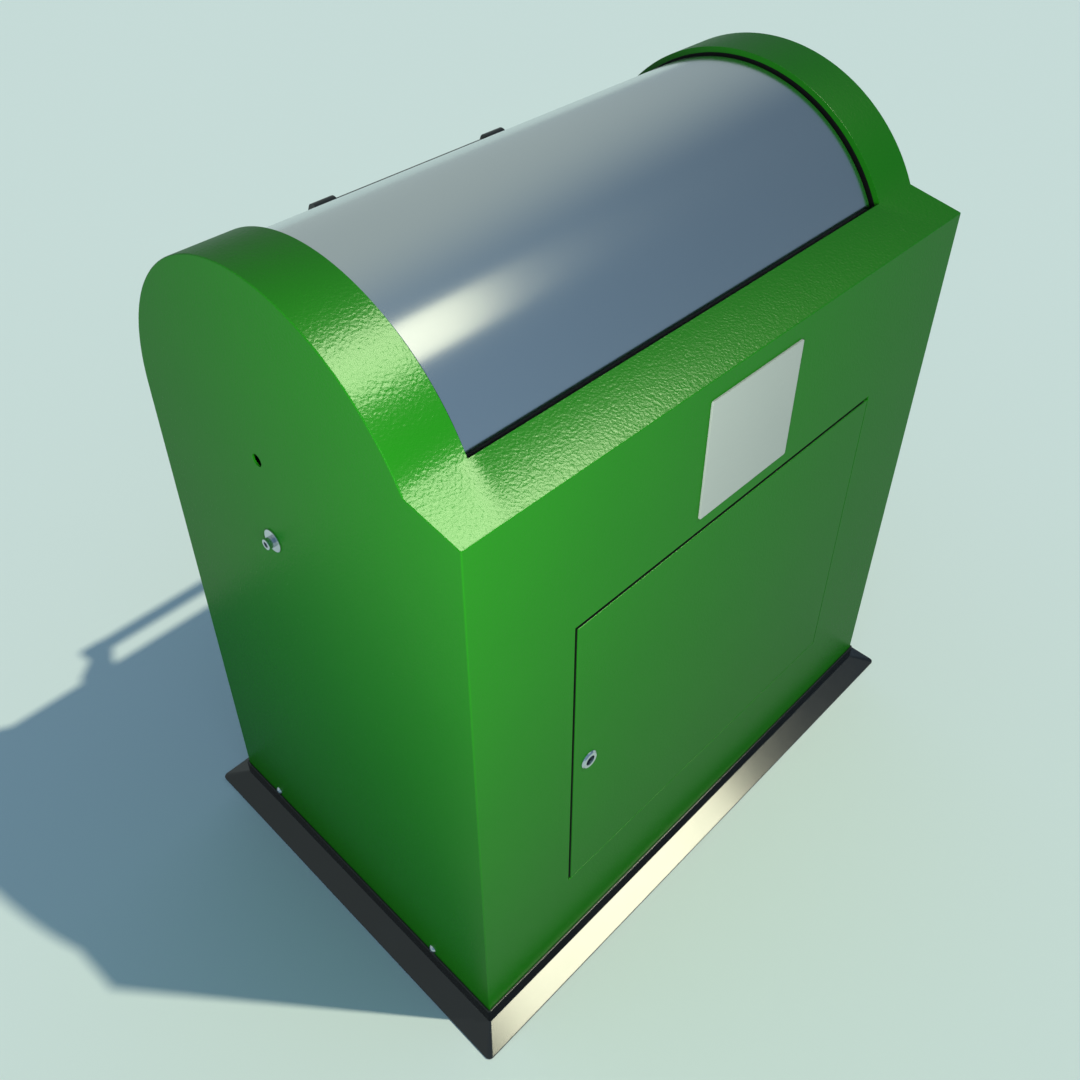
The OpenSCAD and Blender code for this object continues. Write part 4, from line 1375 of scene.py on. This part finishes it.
@dataclass(frozen=True)
class Gleam:
    """A broad soft box beside the sun that only some finishes mirror.

    Its power is in watts, and aside says how many metres it stands to the right.
    """

    name: str
    power: float
    colour: Colour
    finishes: tuple[Finish, ...]
    size: Point = (2.7, 3.6)
    aside: float = 0.0
    towards: tuple[float, float, float] = (0.36, -0.29, 0.887)
    away: float = 8.0

    def finish(self) -> None:
        """Sets the soft box, facing the object."""
        towards = Vector(self.towards).normalized()
        across = (Vector((1, 0, 0)) - towards * towards.x).normalized()
        turn = Matrix((across, towards.cross(across), towards)).transposed().to_4x4()
        place = Matrix.Translation(towards * self.away + across * self.aside)
        made = soft_box(self.name, self.power, self.colour, self.size, place @ turn)
        made.visible_diffuse = made.visible_transmission = False
        names = {finish.name for finish in self.finishes}
        lit_only(made, [piece for piece in dressed_pieces()
                        if names & {m.name for m in piece.data.materials}])


GLEAMS = (
    Gleam("paint_gleam", 1400.0, (0.78, 0.87, 0.56), (COAT,)),
    Gleam("enamel_gleam", 850.0, (1.0, 1.0, 0.72), (ENAMEL,)),
    Gleam("metal_gleam", 33.0, (1.0, 0.97, 0.66), (STAINLESS, ZINC, PLATE), size=(2.7, 2.5), aside=-0.33),
)


@dataclass(frozen=True)
class Studio:
    """The pale floor, the light and the camera.

    Angles are in degrees, the lens and the sensor in millimetres, and powers in watts. The camera
    looks from eye, turned by yaw from +Y to +X and by pitch downwards.
    """

    floor_colour: str = "DCEAE9"
    floor_reach: float = 30.0
    floor_t: float = 0.01
    sun_from: tuple[float, float, float] = (0.324, -0.395, 0.859)
    sun_colour: Colour = (1.0, 0.96, 0.74)
    sun_power: float = 2.15
    sun_angle: float = 1.2
    fill_at: tuple[float, float, float] = (-1.1, -1.0, 1.35)
    fill_to: tuple[float, float, float] = (0.0, 0.0, 0.9)
    fill_power: float = 51.0
    fill_colour: Colour = (0.95, 1.0, 0.8)
    fill_size: Point = (0.8, 0.8)
    sky: Colour = (0.205, 0.305, 0.410)
    clear_left: Colour = (0.224, 0.338, 0.450)
    clear_right: Colour = (0.140, 0.205, 0.272)
    clear_between: Point = (0.50, 0.84)
    haze: Colour = (0.47, 0.56, 0.55)
    haze_from: tuple[float, float, float] = (-0.157, 0.885, 0.439)
    haze_between: Point = (0.13, 0.75)
    eye: tuple[float, float, float] = (-1.0091, -0.9251, 1.7823)
    yaw: float = 45.637
    pitch: float = 38.456
    lens: float = 37.42
    sensor: float = 36.0
    clip: Point = (0.02, 100.0)
    shift: Point = (-0.0014, -0.0967)

    def camera(self) -> None:
        """Sets the camera where the photograph was taken from."""
        data = bpy.data.cameras.new("photo_camera")
        data.lens, data.sensor_width, data.sensor_fit = self.lens, self.sensor, "HORIZONTAL"
        data.shift_x, data.shift_y = self.shift
        data.clip_start, data.clip_end = self.clip
        made = bpy.data.objects.new("photo_camera", data)
        bpy.context.scene.collection.objects.link(made)
        yaw, pitch = math.radians(self.yaw), math.radians(self.pitch)
        ahead = Vector((math.sin(yaw) * math.cos(pitch), math.cos(yaw) * math.cos(pitch), -math.sin(pitch)))
        right = Vector((math.cos(yaw), -math.sin(yaw), 0))
        turn = Matrix((right, right.cross(ahead), -ahead)).transposed().to_4x4()
        made.matrix_world = Matrix.Translation(self.eye) @ turn
        bpy.context.scene.camera = made

    def floor(self) -> None:
        """Lays the pale floor."""
        reach = self.floor_reach
        piece = put("floor", Shape().box((-reach, -reach, -self.floor_t), (reach, reach, 0)))
        paint = PlainFinish("pale_floor_paint", colour=self.floor_colour, second=self.floor_colour,
                            roughness=(0.85, 0.95), specular=0.1, grain_mm=40, depth_mm=0.0, patch_mm=900)
        piece.data.materials.append(paint.material())
        piece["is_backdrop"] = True

    def sun(self) -> None:
        """Sets the sun, which casts the shadows."""
        data = bpy.data.lights.new("sun", "SUN")
        data.energy, data.angle, data.color = self.sun_power, math.radians(self.sun_angle), self.sun_colour
        made = bpy.data.objects.new("sun", data)
        made.rotation_mode = "QUATERNION"
        made.rotation_quaternion = Vector(self.sun_from).to_track_quat("Z", "Y")
        made.visible_glossy = False
        bpy.context.scene.collection.objects.link(made)

    def accents(self) -> None:
        """Sets the soft boxes that reach some finishes alone, once the pieces are dressed."""
        for gleam in GLEAMS:
            gleam.finish()
        at = Vector(self.fill_at)
        turn = (at - Vector(self.fill_to)).to_track_quat("Z", "Y").to_matrix().to_4x4()
        fill = soft_box("fill", self.fill_power, self.fill_colour, self.fill_size,
                        Matrix.Translation(at) @ turn)
        fill.visible_glossy = False
        lit_only(fill, dressed_pieces())

    def air(self) -> None:
        """Sets a plain blue sky; in reflections alone it darkens to the right and has a paler haze."""
        world = bpy.data.worlds.new("sky")
        world.use_nodes = True
        tree = world.node_tree
        tree.nodes.clear()
        look = add_node(tree, "ShaderNodeTexCoord").outputs["Generated"]
        side = add_node(tree, "ShaderNodeVectorMath", {0: look, 1: self.haze_from}, operation="DOT_PRODUCT")
        mask = add_node(tree, "ShaderNodeMapRange", {
            "Value": side.outputs["Value"], "From Min": self.haze_between[0],
            "From Max": self.haze_between[1]}, interpolation_type="SMOOTHSTEP")
        mirrored = add_node(tree, "ShaderNodeLightPath").outputs["Is Glossy Ray"]
        parts = add_node(tree, "ShaderNodeSeparateXYZ", {"Vector": look})
        right = add_node(tree, "ShaderNodeMapRange", {
            "Value": parts.outputs["X"], "From Min": self.clear_between[0],
            "From Max": self.clear_between[1]})
        clear = mixed(tree, right.outputs["Result"], (*self.clear_left, 1.0), (*self.clear_right, 1.0))
        hazy = mixed(tree, mask.outputs["Result"], clear, (*self.haze, 1.0))
        seen = mixed(tree, mirrored, (*self.sky, 1.0), hazy)
        back = add_node(tree, "ShaderNodeBackground", {"Color": seen})
        add_node(tree, "ShaderNodeOutputWorld", {"Surface": back.outputs[0]})
        bpy.context.scene.world = world
        bpy.context.scene.view_settings.view_transform = "Standard"

    def finish(self) -> None:
        """Builds the surroundings."""
        self.camera()
        self.floor()
        self.sun()
        self.air()


def corners(box: tuple[Vector, Vector]) -> list[list[float]]:
    """A box's two corners as plain lists."""
    return [list(corner) for corner in box]


def main() -> None:
    """Loads the frame, builds every sub-assembly in order and measures the scene's bounds before and after.
    """
    logging.basicConfig(level=logging.INFO, format="%(name)s: %(message)s")
    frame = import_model()
    cad_box = corners(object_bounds())
    sizes = Sizes.measured(frame)
    studio = Studio()
    studio.finish()
    finish_cad_nodes(frame["nodes"])
    housing = Housing(sizes)
    for part in (housing, Skirt(sizes), Drum(sizes), ServiceDoor(sizes), Hardware(sizes, housing)):
        part.finish()
    studio.accents()
    {"cad": cad_box, "visual": corners(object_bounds())}


if __name__ == "__main__":
    main()
